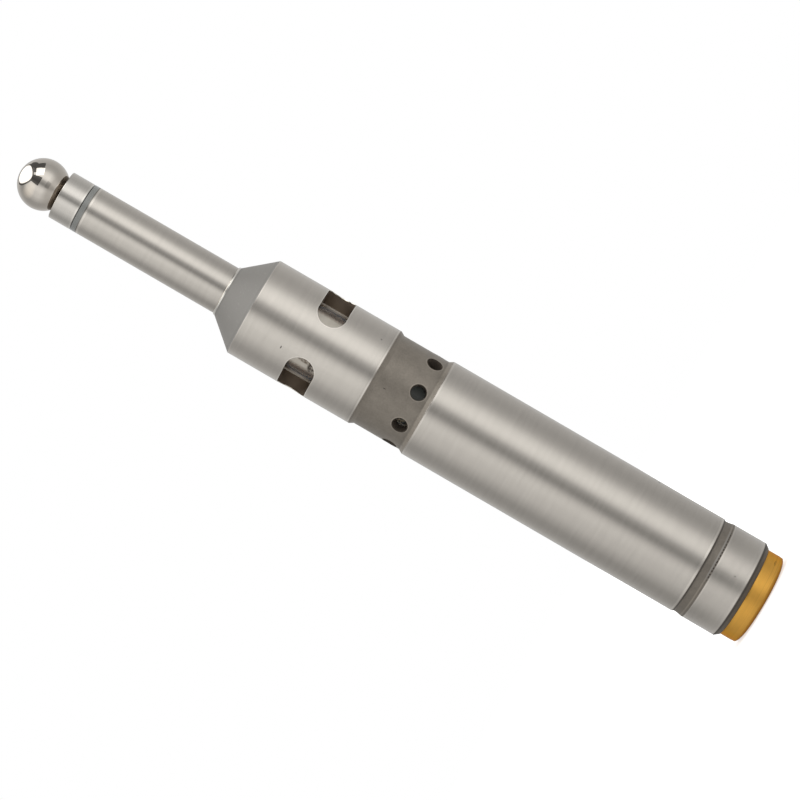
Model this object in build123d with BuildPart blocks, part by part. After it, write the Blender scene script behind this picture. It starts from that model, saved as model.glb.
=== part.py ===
from build123d import *
import math
import os

os.makedirs("parts", exist_ok=True)

# Photoelectric edge finder with a spring-held ball, a battery circuit, three lights and a buzzer.
# Millimetres. The tool's axis is Z. z = 0 is the end face of the battery cap, and the ball is on top.
# The rest of the tool is stacked upward from the cap: cells, sounder, lights, stem and ball.

# Fits and gaps
running_fit = 0.05      # radial play between pieces that turn or slide in each other
push_fit = 0.1          # radial play of inner pieces that are pushed in and glued
spring_play = 0.1       # play left where wire hooks into an eye
wire_sides = 6          # drawn wire has this many flats round it

# Body, one turned and ground piece of hardened steel
shank_d = 20.0          # ground clamping diameter, also the diameter of the head
rear_ring_len = 8.0     # ground ring between the cap and the groove
rear_chamfer_len = 0.85
rear_chamfer_depth = 0.65
groove_w = 2.0
groove_depth = 0.25
groove_lead = 1.6       # long flank of the groove, towards the cap
relief_depth = 0.5      # how far the sound relief lies below the ground diameter
relief_len = 11.5
relief_chamfer_len = 0.85
head_len = 26.5
cone_len = 6.0
stem_d = 9.7
stem_len = 30.4
stem_bore_d = 7.4
head_front_wall = 1.5   # from the end of the head's bore to the foot of the cone

# Sound holes and light windows
sound_hole_d = 3.0
sound_hole_count = 8
sound_hole_inset = 3.0  # hole centres from the rear edge of the relief
sound_hole_start = -35.5
window_count = 3
window_w = 6.0
window_arc = 77.4       # degrees of the ground diameter that each window takes, round ends included
window_inset = 12.8     # window centres from the rear edge of the head
window_start = 90.0

# Cells and battery chamber
cell_d = 11.9
cell_len = 30.2
cell_nub_d = 4.0
cell_nub_len = 0.6
cell_edge = 0.5
cell_play = 0.3         # radial play of a cell in its sleeve
sleeve_wall = 1.2
chamber_step = 0.2      # shoulder between the battery chamber and the head's bore
chamber_web = 0.8       # from that shoulder to the rear edge of the relief

# Battery cap with its contact spring
cap_d = 18.25
cap_len = 4.0
cap_round = 1.0
cap_floor = 2.2
cap_thread_len = 6.0
cap_thread_wall = 0.55  # thread bore over the battery chamber
cap_thread_spare = 1.0  # thread bore beyond the end of the cap's thread
cap_slot_w = 2.0
cap_slot_depth = 1.4
contact_spring_len = 7.6
contact_spring_wire = 0.6
contact_spring_turns = 3
contact_spring_top_d = 5.0
contact_spring_foot_d = 10.0
contact_spring_flat = 300.0     # degrees of flat turn at each end

# Contact disc at the head of the chamber
disc_len = 1.5
button_head_d = 5.0
button_head_len = 0.5
button_pin_d = 2.4
button_rivet_len = 0.4

# Buzzer and circuit board
buzzer_d = 12.0
buzzer_len = 8.5
buzzer_port_d = 2.0
buzzer_port_depth = 1.0
buzzer_below_holes = 1.7
board_len = 1.2

# Lights, standing on the board inside a clear tube
light_tube_wall = 0.9
led_d = 3.0
led_flange_d = 3.4
led_flange_len = 0.8
led_body_len = 5.3
led_circle_r = 4.2
led_leg = 0.5
led_leg_spacing = 2.54

# Other components on the board
transistor_w = 4.6
transistor_depth = 3.6
transistor_len = 4.8
transistor_leg_len = 2.0
transistor_leg_spacing = 1.27
resistor_d = 1.7
resistor_len = 3.4
resistor_span = 5.2
resistor_lead_d = 0.45
resistor_circle_r = 4.6
resistor_lift = 1.2
resistor_angles = (30.0, -90.0)

# Nose: insulating bush, nose ring and ball
bush_flange_len = 1.25
bush_spigot_len = 6.0
bush_wall = 0.55
ring_len = 4.5
ring_edge = 0.2         # broken edges at both ends of the nose ring
ring_spigot_len = 5.2
ring_spigot_wall = 0.5
ball_d = 10.0
seat_d = 6.5            # mouth of the ball's seat in the nose ring

# Ball stud, link and tension spring
stud_d = 2.4
stud_grip = 3.5         # length of stud inside the ball
eye_drop = 1.8          # from the foot of the ball to the middle of the stud's eye
eye_d = 3.1
eye_hole_d = 2.0
eye_thick = 1.0
link_r = 1.3
link_wire = 0.44
link_hang = 0.45        # how far the link hangs below the middle of the stud's eye
spring_r = 2.0
spring_wire = 0.55
spring_pitch = 1.9
spring_turns = 11
hook_root = 0.35
anchor_d = 2.4
anchor_eye_d = 2.4
anchor_eye_hole_d = 1.2
anchor_head_d = 4.8
anchor_head_len = 0.8
anchor_tail_len = 1.0
plug_len = 3.0
liner_wall = 0.6

# Leads
lead_d = 0.7
lead_bend = 0.75
battery_lead_angle = -13.0
probe_lead_angle = 150.0
probe_lead_r = 4.6

# Heights, from the cap to the ball
thread_end_z = cap_len + cap_thread_len
cell_foot_z = cap_floor + contact_spring_len
cells_top_z = cell_foot_z + 2 * cell_len
disc_z = cells_top_z + button_head_len
chamber_end_z = disc_z + disc_len
groove_z = cap_len + rear_ring_len
shank_z = groove_z + groove_w
relief_z = chamber_end_z + chamber_web
head_z = relief_z + relief_len
cone_z = head_z + head_len
stem_z = cone_z + cone_len
stem_end_z = stem_z + stem_len
ring_z = stem_end_z + bush_flange_len
ring_end_z = ring_z + ring_len
head_bore_end_z = cone_z - head_front_wall
plug_z = head_bore_end_z - plug_len
sound_hole_z = relief_z + sound_hole_inset
window_z = head_z + window_inset
buzzer_z = sound_hole_z - buzzer_below_holes
board_z = buzzer_z + buzzer_len
board_top_z = board_z + board_len

# Radii
shank_r = shank_d / 2
stem_r = stem_d / 2
relief_r = shank_r - relief_depth
stem_bore_r = stem_bore_d / 2
cell_r = cell_d / 2
sleeve_bore_r = cell_r + cell_play
sleeve_r = sleeve_bore_r + sleeve_wall
chamber_r = sleeve_r + push_fit
head_bore_r = chamber_r - chamber_step
thread_bore_r = chamber_r + cap_thread_wall
inner_r = head_bore_r - push_fit
light_tube_bore_r = inner_r - light_tube_wall
bush_spigot_r = stem_bore_r - running_fit
bush_bore_r = bush_spigot_r - bush_wall
ring_spigot_r = bush_bore_r - running_fit
ring_bore_r = ring_spigot_r - ring_spigot_wall
ball_r = ball_d / 2
seat_r = ball_r + running_fit
ball_z = ring_end_z + math.sqrt(seat_r**2 - (seat_d / 2) ** 2)
ball_foot_z = ball_z - ball_r
eye_z = ball_foot_z - eye_drop
link_z = eye_z - link_hang - link_r
spring_hook_z = link_z - link_r + (link_wire + spring_wire) / 2 + spring_play
spring_top_z = spring_hook_z - spring_r
spring_foot_z = spring_top_z - spring_turns * spring_pitch
anchor_eye_z = spring_foot_z - spring_r - anchor_eye_hole_d / 2 + spring_wire / 2 + spring_play

# Groove: a long arc that runs out flush with the shank, then a short steep flank
groove_arc_r = (groove_lead**2 + groove_depth**2) / (2 * groove_depth)
groove_floor_r = shank_r - groove_depth
groove_mid_r = groove_floor_r + groove_arc_r - math.sqrt(groove_arc_r**2 - (groove_lead / 2) ** 2)

# Body: outside turned in one setting, then bored from both ends
with BuildPart() as body:
    with BuildSketch(Plane.XZ):
        with BuildLine():
            Polyline(
                (thread_bore_r, cap_len),
                (shank_r - rear_chamfer_depth, cap_len),
                (shank_r, cap_len + rear_chamfer_len),
                (shank_r, groove_z),
            )
            ThreePointArc(
                (shank_r, groove_z),
                (groove_mid_r, groove_z + groove_lead / 2),
                (groove_floor_r, groove_z + groove_lead),
            )
            Polyline(
                (groove_floor_r, groove_z + groove_lead),
                (shank_r, shank_z),
                (shank_r, relief_z),
                (relief_r, relief_z + relief_chamfer_len),
                (relief_r, head_z - relief_chamfer_len),
                (shank_r, head_z),
                (shank_r, cone_z),
                (stem_r, stem_z),
                (stem_r, stem_end_z),
                (stem_bore_r, stem_end_z),
                (stem_bore_r, head_bore_end_z),
                (head_bore_r, head_bore_end_z),
                (head_bore_r, chamber_end_z),
                (chamber_r, chamber_end_z),
                (chamber_r, thread_end_z + cap_thread_spare),
                (thread_bore_r, thread_end_z + cap_thread_spare),
                (thread_bore_r, cap_len),
            )
        make_face()
    revolve(axis=Axis.Z)
    # Sound holes, drilled square to the axis round the relief
    for index in range(sound_hole_count):
        angle = sound_hole_start + index * 360 / sound_hole_count
        with BuildSketch(Plane((0, 0, sound_hole_z), z_dir=Vector(1, 0, 0).rotate(Axis.Z, angle))):
            Circle(sound_hole_d / 2)
        extrude(amount=shank_r, mode=Mode.SUBTRACT)
    # Light windows: an end mill is plunged, the body is turned under it, and the mill is lifted out
    mill_r = window_w / 2
    window_end = window_arc / 2 - math.degrees(math.asin(mill_r / shank_r))
    for index in range(window_count):
        middle = window_start + index * 360 / window_count
        for side in (-window_end, window_end):
            towards = Vector(1, 0, 0).rotate(Axis.Z, middle + side)
            with BuildSketch(Plane((0, 0, window_z), z_dir=towards)):
                Circle(mill_r)
            extrude(amount=shank_r + mill_r, mode=Mode.SUBTRACT)
        slot_plane = Plane(
            (0, 0, 0),
            x_dir=Vector(1, 0, 0).rotate(Axis.Z, middle - window_end),
            z_dir=Vector(0, -1, 0).rotate(Axis.Z, middle - window_end),
        )
        with BuildSketch(slot_plane):
            with Locations((shank_r, window_z)):
                Rectangle(2 * (shank_r - inner_r), window_w)
        revolve(axis=Axis.Z, revolution_arc=2 * window_end, mode=Mode.SUBTRACT)
body.part.label = "body"
export_step(body.part, "parts/body.step")

# Insulating bush: keeps the nose ring and ball apart from the earthed body
with BuildPart() as insulating_bush:
    with BuildSketch(Plane.XZ):
        with BuildLine():
            Polyline(
                (bush_bore_r, ring_z),
                (stem_r, ring_z),
                (stem_r, stem_end_z),
                (bush_spigot_r, stem_end_z),
                (bush_spigot_r, stem_end_z - bush_spigot_len),
                (bush_bore_r, stem_end_z - bush_spigot_len),
                close=True,
            )
        make_face()
    revolve(axis=Axis.Z)
insulating_bush.part.label = "insulating_bush"
export_step(insulating_bush.part, "parts/insulating_bush.step")

# Nose ring: ground ring with the ball's seat in its mouth and a spigot in the bush
with BuildPart() as nose_ring:
    with BuildSketch(Plane.XZ):
        with BuildLine():
            Polyline(
                (ring_bore_r, ring_end_z),
                (stem_r - ring_edge, ring_end_z),
                (stem_r, ring_end_z - ring_edge),
                (stem_r, ring_z + ring_edge),
                (stem_r - ring_edge, ring_z),
                (ring_spigot_r, ring_z),
                (ring_spigot_r, ring_z - ring_spigot_len),
                (ring_bore_r, ring_z - ring_spigot_len),
                close=True,
            )
        make_face()
    revolve(axis=Axis.Z)
    with Locations((0, 0, ball_z)):
        Sphere(seat_r, mode=Mode.SUBTRACT)
nose_ring.part.label = "nose_ring"
export_step(nose_ring.part, "parts/nose_ring.step")

# Ball: polished bearing ball with a blind hole for its stud
with BuildPart() as ball:
    with Locations((0, 0, ball_z)):
        Sphere(ball_r)
    with BuildSketch(Plane.XY.offset(ball_foot_z)):
        Circle(stud_d / 2 + running_fit)
    extrude(amount=stud_grip + running_fit, mode=Mode.SUBTRACT)
ball.part.label = "ball"
export_step(ball.part, "parts/ball.step")

# Eye stud: fixed in the ball, with a flat eye that hangs in the nose ring's bore
with BuildPart() as eye_stud:
    with BuildSketch(Plane.XY.offset(eye_z)):
        Circle(stud_d / 2)
    extrude(amount=eye_drop + stud_grip)
    with BuildSketch(Plane.XZ.offset(-eye_thick / 2)):
        with Locations((0, eye_z)):
            Circle(eye_d / 2)
    extrude(amount=eye_thick)
    # The stud's lower end is flattened to the thickness of the eye
    with BuildSketch(Plane.XY.offset(eye_z - eye_d / 2)):
        for side in (-1, 1):
            with Locations((0, side * (eye_thick / 2 + eye_d / 2))):
                Rectangle(eye_d, eye_d)
    extrude(amount=eye_d / 2 + eye_hole_d / 2, mode=Mode.SUBTRACT)
    with BuildSketch(Plane.XZ.offset(-eye_thick)):
        with Locations((0, eye_z)):
            Circle(eye_hole_d / 2)
    extrude(amount=2 * eye_thick, mode=Mode.SUBTRACT)
eye_stud.part.label = "eye_stud"
export_step(eye_stud.part, "parts/eye_stud.step")

# Link: a small wire ring between the stud's eye and the spring's hook, so that the ball can tip
with BuildPart() as link_ring:
    with BuildSketch(Plane.XZ):
        with Locations((0, link_z + link_r)):
            RegularPolygon(link_wire / 2, wire_sides, major_radius=False)
    revolve(axis=Axis((0, 0, link_z), (1, 0, 0)))
link_ring.part.label = "link_ring"
export_step(link_ring.part, "parts/link_ring.step")

# Tension spring, drawn as it sits in the tool, stretched between the anchor and the link
with BuildPart() as tension_spring:
    with BuildLine(Plane.XY.offset(spring_foot_z)):
        Helix(pitch=spring_pitch, height=spring_turns * spring_pitch, radius=spring_r)
    with BuildSketch(Plane.XZ):
        with Locations((spring_r, spring_foot_z)):
            RegularPolygon(spring_wire / 2, wire_sides, major_radius=False)
    sweep(is_frenet=True)
    # Each hook is half a turn, with a short root that joins the end of the coil
    for end_z, turn, root in ((spring_top_z, -180, -hook_root), (spring_foot_z, 180, hook_root)):
        with BuildSketch(Plane.XY.offset(end_z)) as hook_section:
            with Locations((spring_r, 0)):
                RegularPolygon(spring_wire / 2, wire_sides, major_radius=False)
        revolve(axis=Axis((0, 0, end_z), (0, 1, 0)), revolution_arc=turn)
        extrude(hook_section.sketch, amount=root)
tension_spring.part.label = "tension_spring"
export_step(tension_spring.part, "parts/tension_spring.step")

# Spring anchor: a brass rod through the plug, with an eye at its top for the spring's lower hook
with BuildPart() as spring_anchor:
    with BuildSketch(Plane.XY.offset(plug_z - anchor_head_len - anchor_tail_len)):
        Circle(anchor_d / 2)
    extrude(amount=anchor_eye_z - plug_z + anchor_head_len + anchor_tail_len)
    with BuildSketch(Plane.XY.offset(plug_z - anchor_head_len)):
        Circle(anchor_head_d / 2)
    extrude(amount=anchor_head_len)
    with BuildSketch(Plane.YZ.offset(-anchor_d / 2)):
        with Locations((0, anchor_eye_z)):
            Circle(anchor_eye_d / 2)
    extrude(amount=anchor_d)
    with BuildSketch(Plane.XY.offset(anchor_eye_z - anchor_eye_d)):
        for side in (-1, 1):
            with Locations((side * (eye_thick / 2 + anchor_d / 2), 0)):
                Rectangle(anchor_d, 2 * anchor_d)
    extrude(amount=2 * anchor_eye_d, mode=Mode.SUBTRACT)
    with BuildSketch(Plane.YZ.offset(-anchor_d)):
        with Locations((0, anchor_eye_z)):
            Circle(anchor_eye_hole_d / 2)
    extrude(amount=2 * anchor_d, mode=Mode.SUBTRACT)
spring_anchor.part.label = "spring_anchor"
export_step(spring_anchor.part, "parts/spring_anchor.step")

# Anchor plug: insulating disc against the shoulder at the front of the head's bore
with BuildPart() as anchor_plug:
    with BuildSketch(Plane.XY.offset(plug_z)):
        Circle(inner_r)
        Circle(anchor_d / 2 + running_fit, mode=Mode.SUBTRACT)
    extrude(amount=plug_len)
anchor_plug.part.label = "anchor_plug"
export_step(anchor_plug.part, "parts/anchor_plug.step")

# Stem liner: insulating tube round the spring, from the plug to the bush
with BuildPart() as stem_liner:
    with BuildSketch(Plane.XY.offset(head_bore_end_z)):
        Circle(stem_bore_r - push_fit)
        Circle(stem_bore_r - push_fit - liner_wall, mode=Mode.SUBTRACT)
    extrude(amount=stem_end_z - bush_spigot_len - head_bore_end_z - spring_play)
stem_liner.part.label = "stem_liner"
export_step(stem_liner.part, "parts/stem_liner.step")

# Light tube: clear tube behind the windows, between the board and the plug
with BuildPart() as light_tube:
    with BuildSketch(Plane.XY.offset(board_top_z)):
        Circle(inner_r)
        Circle(light_tube_bore_r, mode=Mode.SUBTRACT)
    extrude(amount=plug_z - board_top_z)
light_tube.part.label = "light_tube"
export_step(light_tube.part, "parts/light_tube.step")

# Circuit board: a round board with the buzzer below and the lights above
with BuildPart() as circuit_board:
    with BuildSketch(Plane.XY.offset(board_z)):
        Circle(inner_r)
    extrude(amount=board_len)
circuit_board.part.label = "circuit_board"
export_step(circuit_board.part, "parts/circuit_board.step")

# Lights: one behind the middle of each window, with its dome level with the window's middle
led_foot_z = window_z - led_body_len
for letter, index in (("a", 0), ("b", 1), ("c", 2)):
    led_angle = window_start + index * 360 / window_count
    led_plane = Plane(
        Vector(led_circle_r, 0, 0).rotate(Axis.Z, led_angle),
        x_dir=Vector(1, 0, 0).rotate(Axis.Z, led_angle),
        z_dir=(0, 0, 1),
    )
    with BuildPart() as led:
        with BuildSketch(led_plane.offset(led_foot_z)):
            Circle(led_flange_d / 2)
        extrude(amount=led_flange_len)
        with BuildSketch(led_plane.offset(led_foot_z)):
            Circle(led_d / 2)
        extrude(amount=led_body_len - led_d / 2)
        with Locations(led_plane.offset(window_z - led_d / 2)):
            Sphere(led_d / 2)
        with BuildSketch(led_plane.offset(board_top_z)):
            with Locations((0, -led_leg_spacing / 2), (0, led_leg_spacing / 2)):
                Rectangle(led_leg, led_leg)
        extrude(amount=led_foot_z - board_top_z)
    led.part.label = f"led_{letter}"
    export_step(led.part, f"parts/led_{letter}.step")

# Buzzer: a round magnetic sounder soldered under the board, with its port facing the cells
with BuildPart() as buzzer:
    with BuildSketch(Plane.XY.offset(buzzer_z)):
        Circle(buzzer_d / 2)
        Circle(buzzer_port_d / 2, mode=Mode.SUBTRACT)
    extrude(amount=buzzer_port_depth)
    with BuildSketch(Plane.XY.offset(buzzer_z + buzzer_port_depth)):
        Circle(buzzer_d / 2)
    extrude(amount=buzzer_len - buzzer_port_depth)
buzzer.part.label = "buzzer"
export_step(buzzer.part, "parts/buzzer.step")

# Transistor: D-shaped case on three legs in the middle of the board
with BuildPart() as transistor:
    with BuildSketch(Plane.XY.offset(board_top_z + transistor_leg_len)):
        Circle(transistor_w / 2)
        with Locations((0, transistor_depth)):
            Rectangle(transistor_w, transistor_w, mode=Mode.SUBTRACT)
    extrude(amount=transistor_len)
    with BuildSketch(Plane.XY.offset(board_top_z)):
        with GridLocations(transistor_leg_spacing, 0, 3, 1):
            Rectangle(led_leg, led_leg)
    extrude(amount=transistor_leg_len)
transistor.part.label = "transistor"
export_step(transistor.part, "parts/transistor.step")

# Resistors: lying over the board, each on its two bent leads
with BuildPart() as resistors:
    for angle in resistor_angles:
        out = Vector(1, 0, 0).rotate(Axis.Z, angle)
        along = Vector(0, 1, 0).rotate(Axis.Z, angle)
        middle_z = board_top_z + resistor_lift
        across = Plane(out * resistor_circle_r + Vector(0, 0, middle_z), x_dir=out, z_dir=along)
        with BuildSketch(across.offset(-resistor_len / 2)):
            Circle(resistor_d / 2)
        extrude(amount=resistor_len)
        with BuildSketch(across.offset(-resistor_span / 2)):
            RegularPolygon(resistor_lead_d / 2, wire_sides, major_radius=False)
        extrude(amount=resistor_span)
        standing = Plane(out * resistor_circle_r + Vector(0, 0, board_top_z), x_dir=along, z_dir=(0, 0, 1))
        with BuildSketch(standing):
            with Locations((-resistor_span / 2, 0), (resistor_span / 2, 0)):
                RegularPolygon(resistor_lead_d / 2, wire_sides, major_radius=False)
        extrude(amount=resistor_lift)
resistors.part.label = "resistors"
export_step(resistors.part, "parts/resistors.step")

# Contact disc: insulating disc on the chamber's shoulder, with the contact button through it
with BuildPart() as contact_disc:
    with BuildSketch(Plane.XY.offset(disc_z)):
        Circle(sleeve_r)
        Circle(button_pin_d / 2 + running_fit, mode=Mode.SUBTRACT)
    extrude(amount=disc_len)
contact_disc.part.label = "contact_disc"
export_step(contact_disc.part, "parts/contact_disc.step")

# Contact button: brass rivet that meets the front cell's nub
with BuildPart() as contact_button:
    with BuildSketch(Plane.XY.offset(cells_top_z)):
        Circle(button_head_d / 2)
    extrude(amount=button_head_len)
    with BuildSketch(Plane.XY.offset(disc_z)):
        Circle(button_pin_d / 2)
    extrude(amount=disc_len + button_rivet_len)
contact_button.part.label = "contact_button"
export_step(contact_button.part, "parts/contact_button.step")

# Battery sleeve: insulating tube that keeps the cells off the steel
with BuildPart() as battery_sleeve:
    with BuildSketch(Plane.XY.offset(thread_end_z + push_fit)):
        Circle(sleeve_r)
        Circle(sleeve_bore_r, mode=Mode.SUBTRACT)
    extrude(amount=disc_z - thread_end_z - push_fit)
battery_sleeve.part.label = "battery_sleeve"
export_step(battery_sleeve.part, "parts/battery_sleeve.step")

# Cells: two alike, end to end, nub forward
for name, foot_z in (("rear_cell", cell_foot_z), ("front_cell", cell_foot_z + cell_len)):
    with BuildPart() as cell:
        with BuildSketch(Plane.XY.offset(foot_z)):
            Circle(cell_r)
        extrude(amount=cell_len - cell_nub_len)
        chamfer(cell.edges().filter_by(GeomType.CIRCLE), length=cell_edge)
        with BuildSketch(Plane.XY.offset(foot_z + cell_len - cell_nub_len)):
            Circle(cell_nub_d / 2)
        extrude(amount=cell_nub_len)
    cell.part.label = name
    export_step(cell.part, f"parts/{name}.step")

# Battery cap: flange, threaded barrel, well for the contact spring and a coin slot across its end
with BuildPart() as battery_cap:
    barrel_r = thread_bore_r - running_fit
    well_r = sleeve_bore_r
    with BuildSketch(Plane.XZ):
        with BuildLine():
            Polyline(
                (0, 0),
                (cap_d / 2 - cap_round, 0),
            )
            RadiusArc((cap_d / 2 - cap_round, 0), (cap_d / 2, cap_round), -cap_round)
            Polyline(
                (cap_d / 2, cap_round),
                (cap_d / 2, cap_len),
                (barrel_r, cap_len),
                (barrel_r, thread_end_z),
                (well_r, thread_end_z),
                (well_r, cap_floor),
                (0, cap_floor),
                (0, 0),
            )
        make_face()
    revolve(axis=Axis.Z)
    with BuildSketch(Plane.XY):
        Rectangle(cap_d + cap_round, cap_slot_w)
    extrude(amount=cap_slot_depth, mode=Mode.SUBTRACT)
battery_cap.part.label = "battery_cap"
export_step(battery_cap.part, "parts/battery_cap.step")

# Contact spring: a conical spring in the cap's well that presses on the rear cell
with BuildPart() as cap_contact_spring:
    wire_r = contact_spring_wire / 2
    coil_low_z = cap_floor + wire_r
    coil_high_z = cell_foot_z - wire_r
    coil_low_r = contact_spring_foot_d / 2
    coil_high_r = contact_spring_top_d / 2
    coil_height = coil_high_z - coil_low_z
    lean = math.degrees(math.atan2(coil_low_r - coil_high_r, coil_height))
    slope_pitch = coil_height / contact_spring_turns / math.cos(math.radians(lean))
    with BuildLine(Plane.XY.offset(coil_low_z)):
        Helix(slope_pitch, coil_height, coil_low_r, cone_angle=-lean)
    with BuildSketch(Plane.XZ):
        with Locations((coil_low_r, coil_low_z)):
            RegularPolygon(wire_r, wire_sides, major_radius=False)
    sweep(is_frenet=True)
    # Each end is closed by most of a flat turn
    for ring_r, ring_level_z, arc in (
        (coil_low_r, coil_low_z, -contact_spring_flat),
        (coil_high_r, coil_high_z, contact_spring_flat),
    ):
        with BuildSketch(Plane.XZ):
            with Locations((ring_r, ring_level_z)):
                RegularPolygon(wire_r, wire_sides, major_radius=False)
        revolve(axis=Axis.Z, revolution_arc=arc)
cap_contact_spring.part.label = "cap_contact_spring"
export_step(cap_contact_spring.part, "parts/cap_contact_spring.step")

# Battery lead: from the button, past the side of the buzzer, to the underside of the board
battery_lead_r = (buzzer_d / 2 + head_bore_r) / 2
battery_lead_low_z = chamber_end_z + button_rivet_len
battery_lead_level_z = battery_lead_low_z + lead_bend + push_fit
battery_lead_out = Vector(battery_lead_r, 0, 0).rotate(Axis.Z, battery_lead_angle)
with BuildPart() as battery_lead:
    with BuildLine():
        FilletPolyline(
            (0, 0, battery_lead_low_z),
            (0, 0, battery_lead_level_z),
            battery_lead_out + Vector(0, 0, battery_lead_level_z),
            battery_lead_out + Vector(0, 0, board_z),
            radius=lead_bend,
        )
    with BuildSketch(Plane.XY.offset(battery_lead_low_z)):
        RegularPolygon(lead_d / 2, wire_sides, major_radius=False)
    sweep()
battery_lead.part.label = "battery_lead"
export_step(battery_lead.part, "parts/battery_lead.step")

# Probe lead: from the tail of the spring anchor, between the lights, to the top of the board
probe_lead_top_z = plug_z - anchor_head_len - anchor_tail_len
probe_lead_level_z = probe_lead_top_z - lead_bend - push_fit
probe_lead_out = Vector(probe_lead_r, 0, 0).rotate(Axis.Z, probe_lead_angle)
with BuildPart() as probe_lead:
    with BuildLine():
        FilletPolyline(
            (0, 0, probe_lead_top_z),
            (0, 0, probe_lead_level_z),
            probe_lead_out + Vector(0, 0, probe_lead_level_z),
            probe_lead_out + Vector(0, 0, board_top_z),
            radius=lead_bend,
        )
    with BuildSketch(Plane.XY.offset(probe_lead_top_z)):
        RegularPolygon(lead_d / 2, wire_sides, major_radius=False)
    sweep()
probe_lead.part.label = "probe_lead"
export_step(probe_lead.part, "parts/probe_lead.step")
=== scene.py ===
import math
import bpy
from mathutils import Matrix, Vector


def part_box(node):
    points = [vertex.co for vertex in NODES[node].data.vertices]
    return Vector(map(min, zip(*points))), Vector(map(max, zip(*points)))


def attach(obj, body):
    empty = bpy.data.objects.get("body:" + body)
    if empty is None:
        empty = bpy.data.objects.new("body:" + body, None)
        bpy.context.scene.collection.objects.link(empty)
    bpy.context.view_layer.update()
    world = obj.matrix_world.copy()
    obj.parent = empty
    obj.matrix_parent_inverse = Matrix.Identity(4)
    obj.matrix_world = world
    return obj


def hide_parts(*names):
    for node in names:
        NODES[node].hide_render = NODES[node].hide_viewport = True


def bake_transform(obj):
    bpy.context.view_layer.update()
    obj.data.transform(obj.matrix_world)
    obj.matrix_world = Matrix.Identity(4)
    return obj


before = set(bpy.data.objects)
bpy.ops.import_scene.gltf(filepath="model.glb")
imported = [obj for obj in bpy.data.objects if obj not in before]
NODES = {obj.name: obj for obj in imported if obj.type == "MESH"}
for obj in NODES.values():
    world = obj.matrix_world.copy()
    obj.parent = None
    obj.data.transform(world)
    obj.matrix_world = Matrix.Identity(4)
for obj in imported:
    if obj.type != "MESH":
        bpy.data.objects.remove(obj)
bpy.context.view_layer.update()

from types import SimpleNamespace

import bmesh
import bpy
import numpy as np
from bpy.props import FloatProperty, FloatVectorProperty, IntProperty, PointerProperty
from bpy.types import Operator, Panel, PropertyGroup
from mathutils import Matrix, Vector

bl_info = {
    "name": "Photoelectric edge finder",
    "version": (1, 0, 0),
    "blender": (4, 5, 0),
    "location": "View3D > Sidebar > Edge Finder",
    "description": "Finishes an edge finder: ground steel, mirror ball, lights, springs and gold cap",
    "category": "Object",
}

# The frame is in metres, with the tool standing on its cap and its axis on Z.
MM = 0.001
# Columns of a turned piece, enough for a smooth outline
TURNED_COLUMNS = 128


def linear_from_hex(code):
    """Turns an sRGB colour such as #C8A040 into Blender's linear red, green and blue."""
    srgb = np.array([int(code[i:i + 2], 16) for i in (1, 3, 5)]) / 255
    linear = np.where(srgb <= 0.04045, srgb / 12.92, ((srgb + 0.055) / 1.055) ** 2.4)
    return tuple(float(channel) for channel in linear)


def length(name, description, millimetres):
    """A length property, given in millimetres and kept in metres."""
    return FloatProperty(
        name=name, description=description, default=millimetres * MM, unit="LENGTH", precision=5)


def colour(name, description, code):
    """A colour property, given as sRGB hex."""
    return FloatVectorProperty(
        name=name, description=description, default=linear_from_hex(code),
        subtype="COLOR", size=3, min=0.0, max=1.0)


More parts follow.
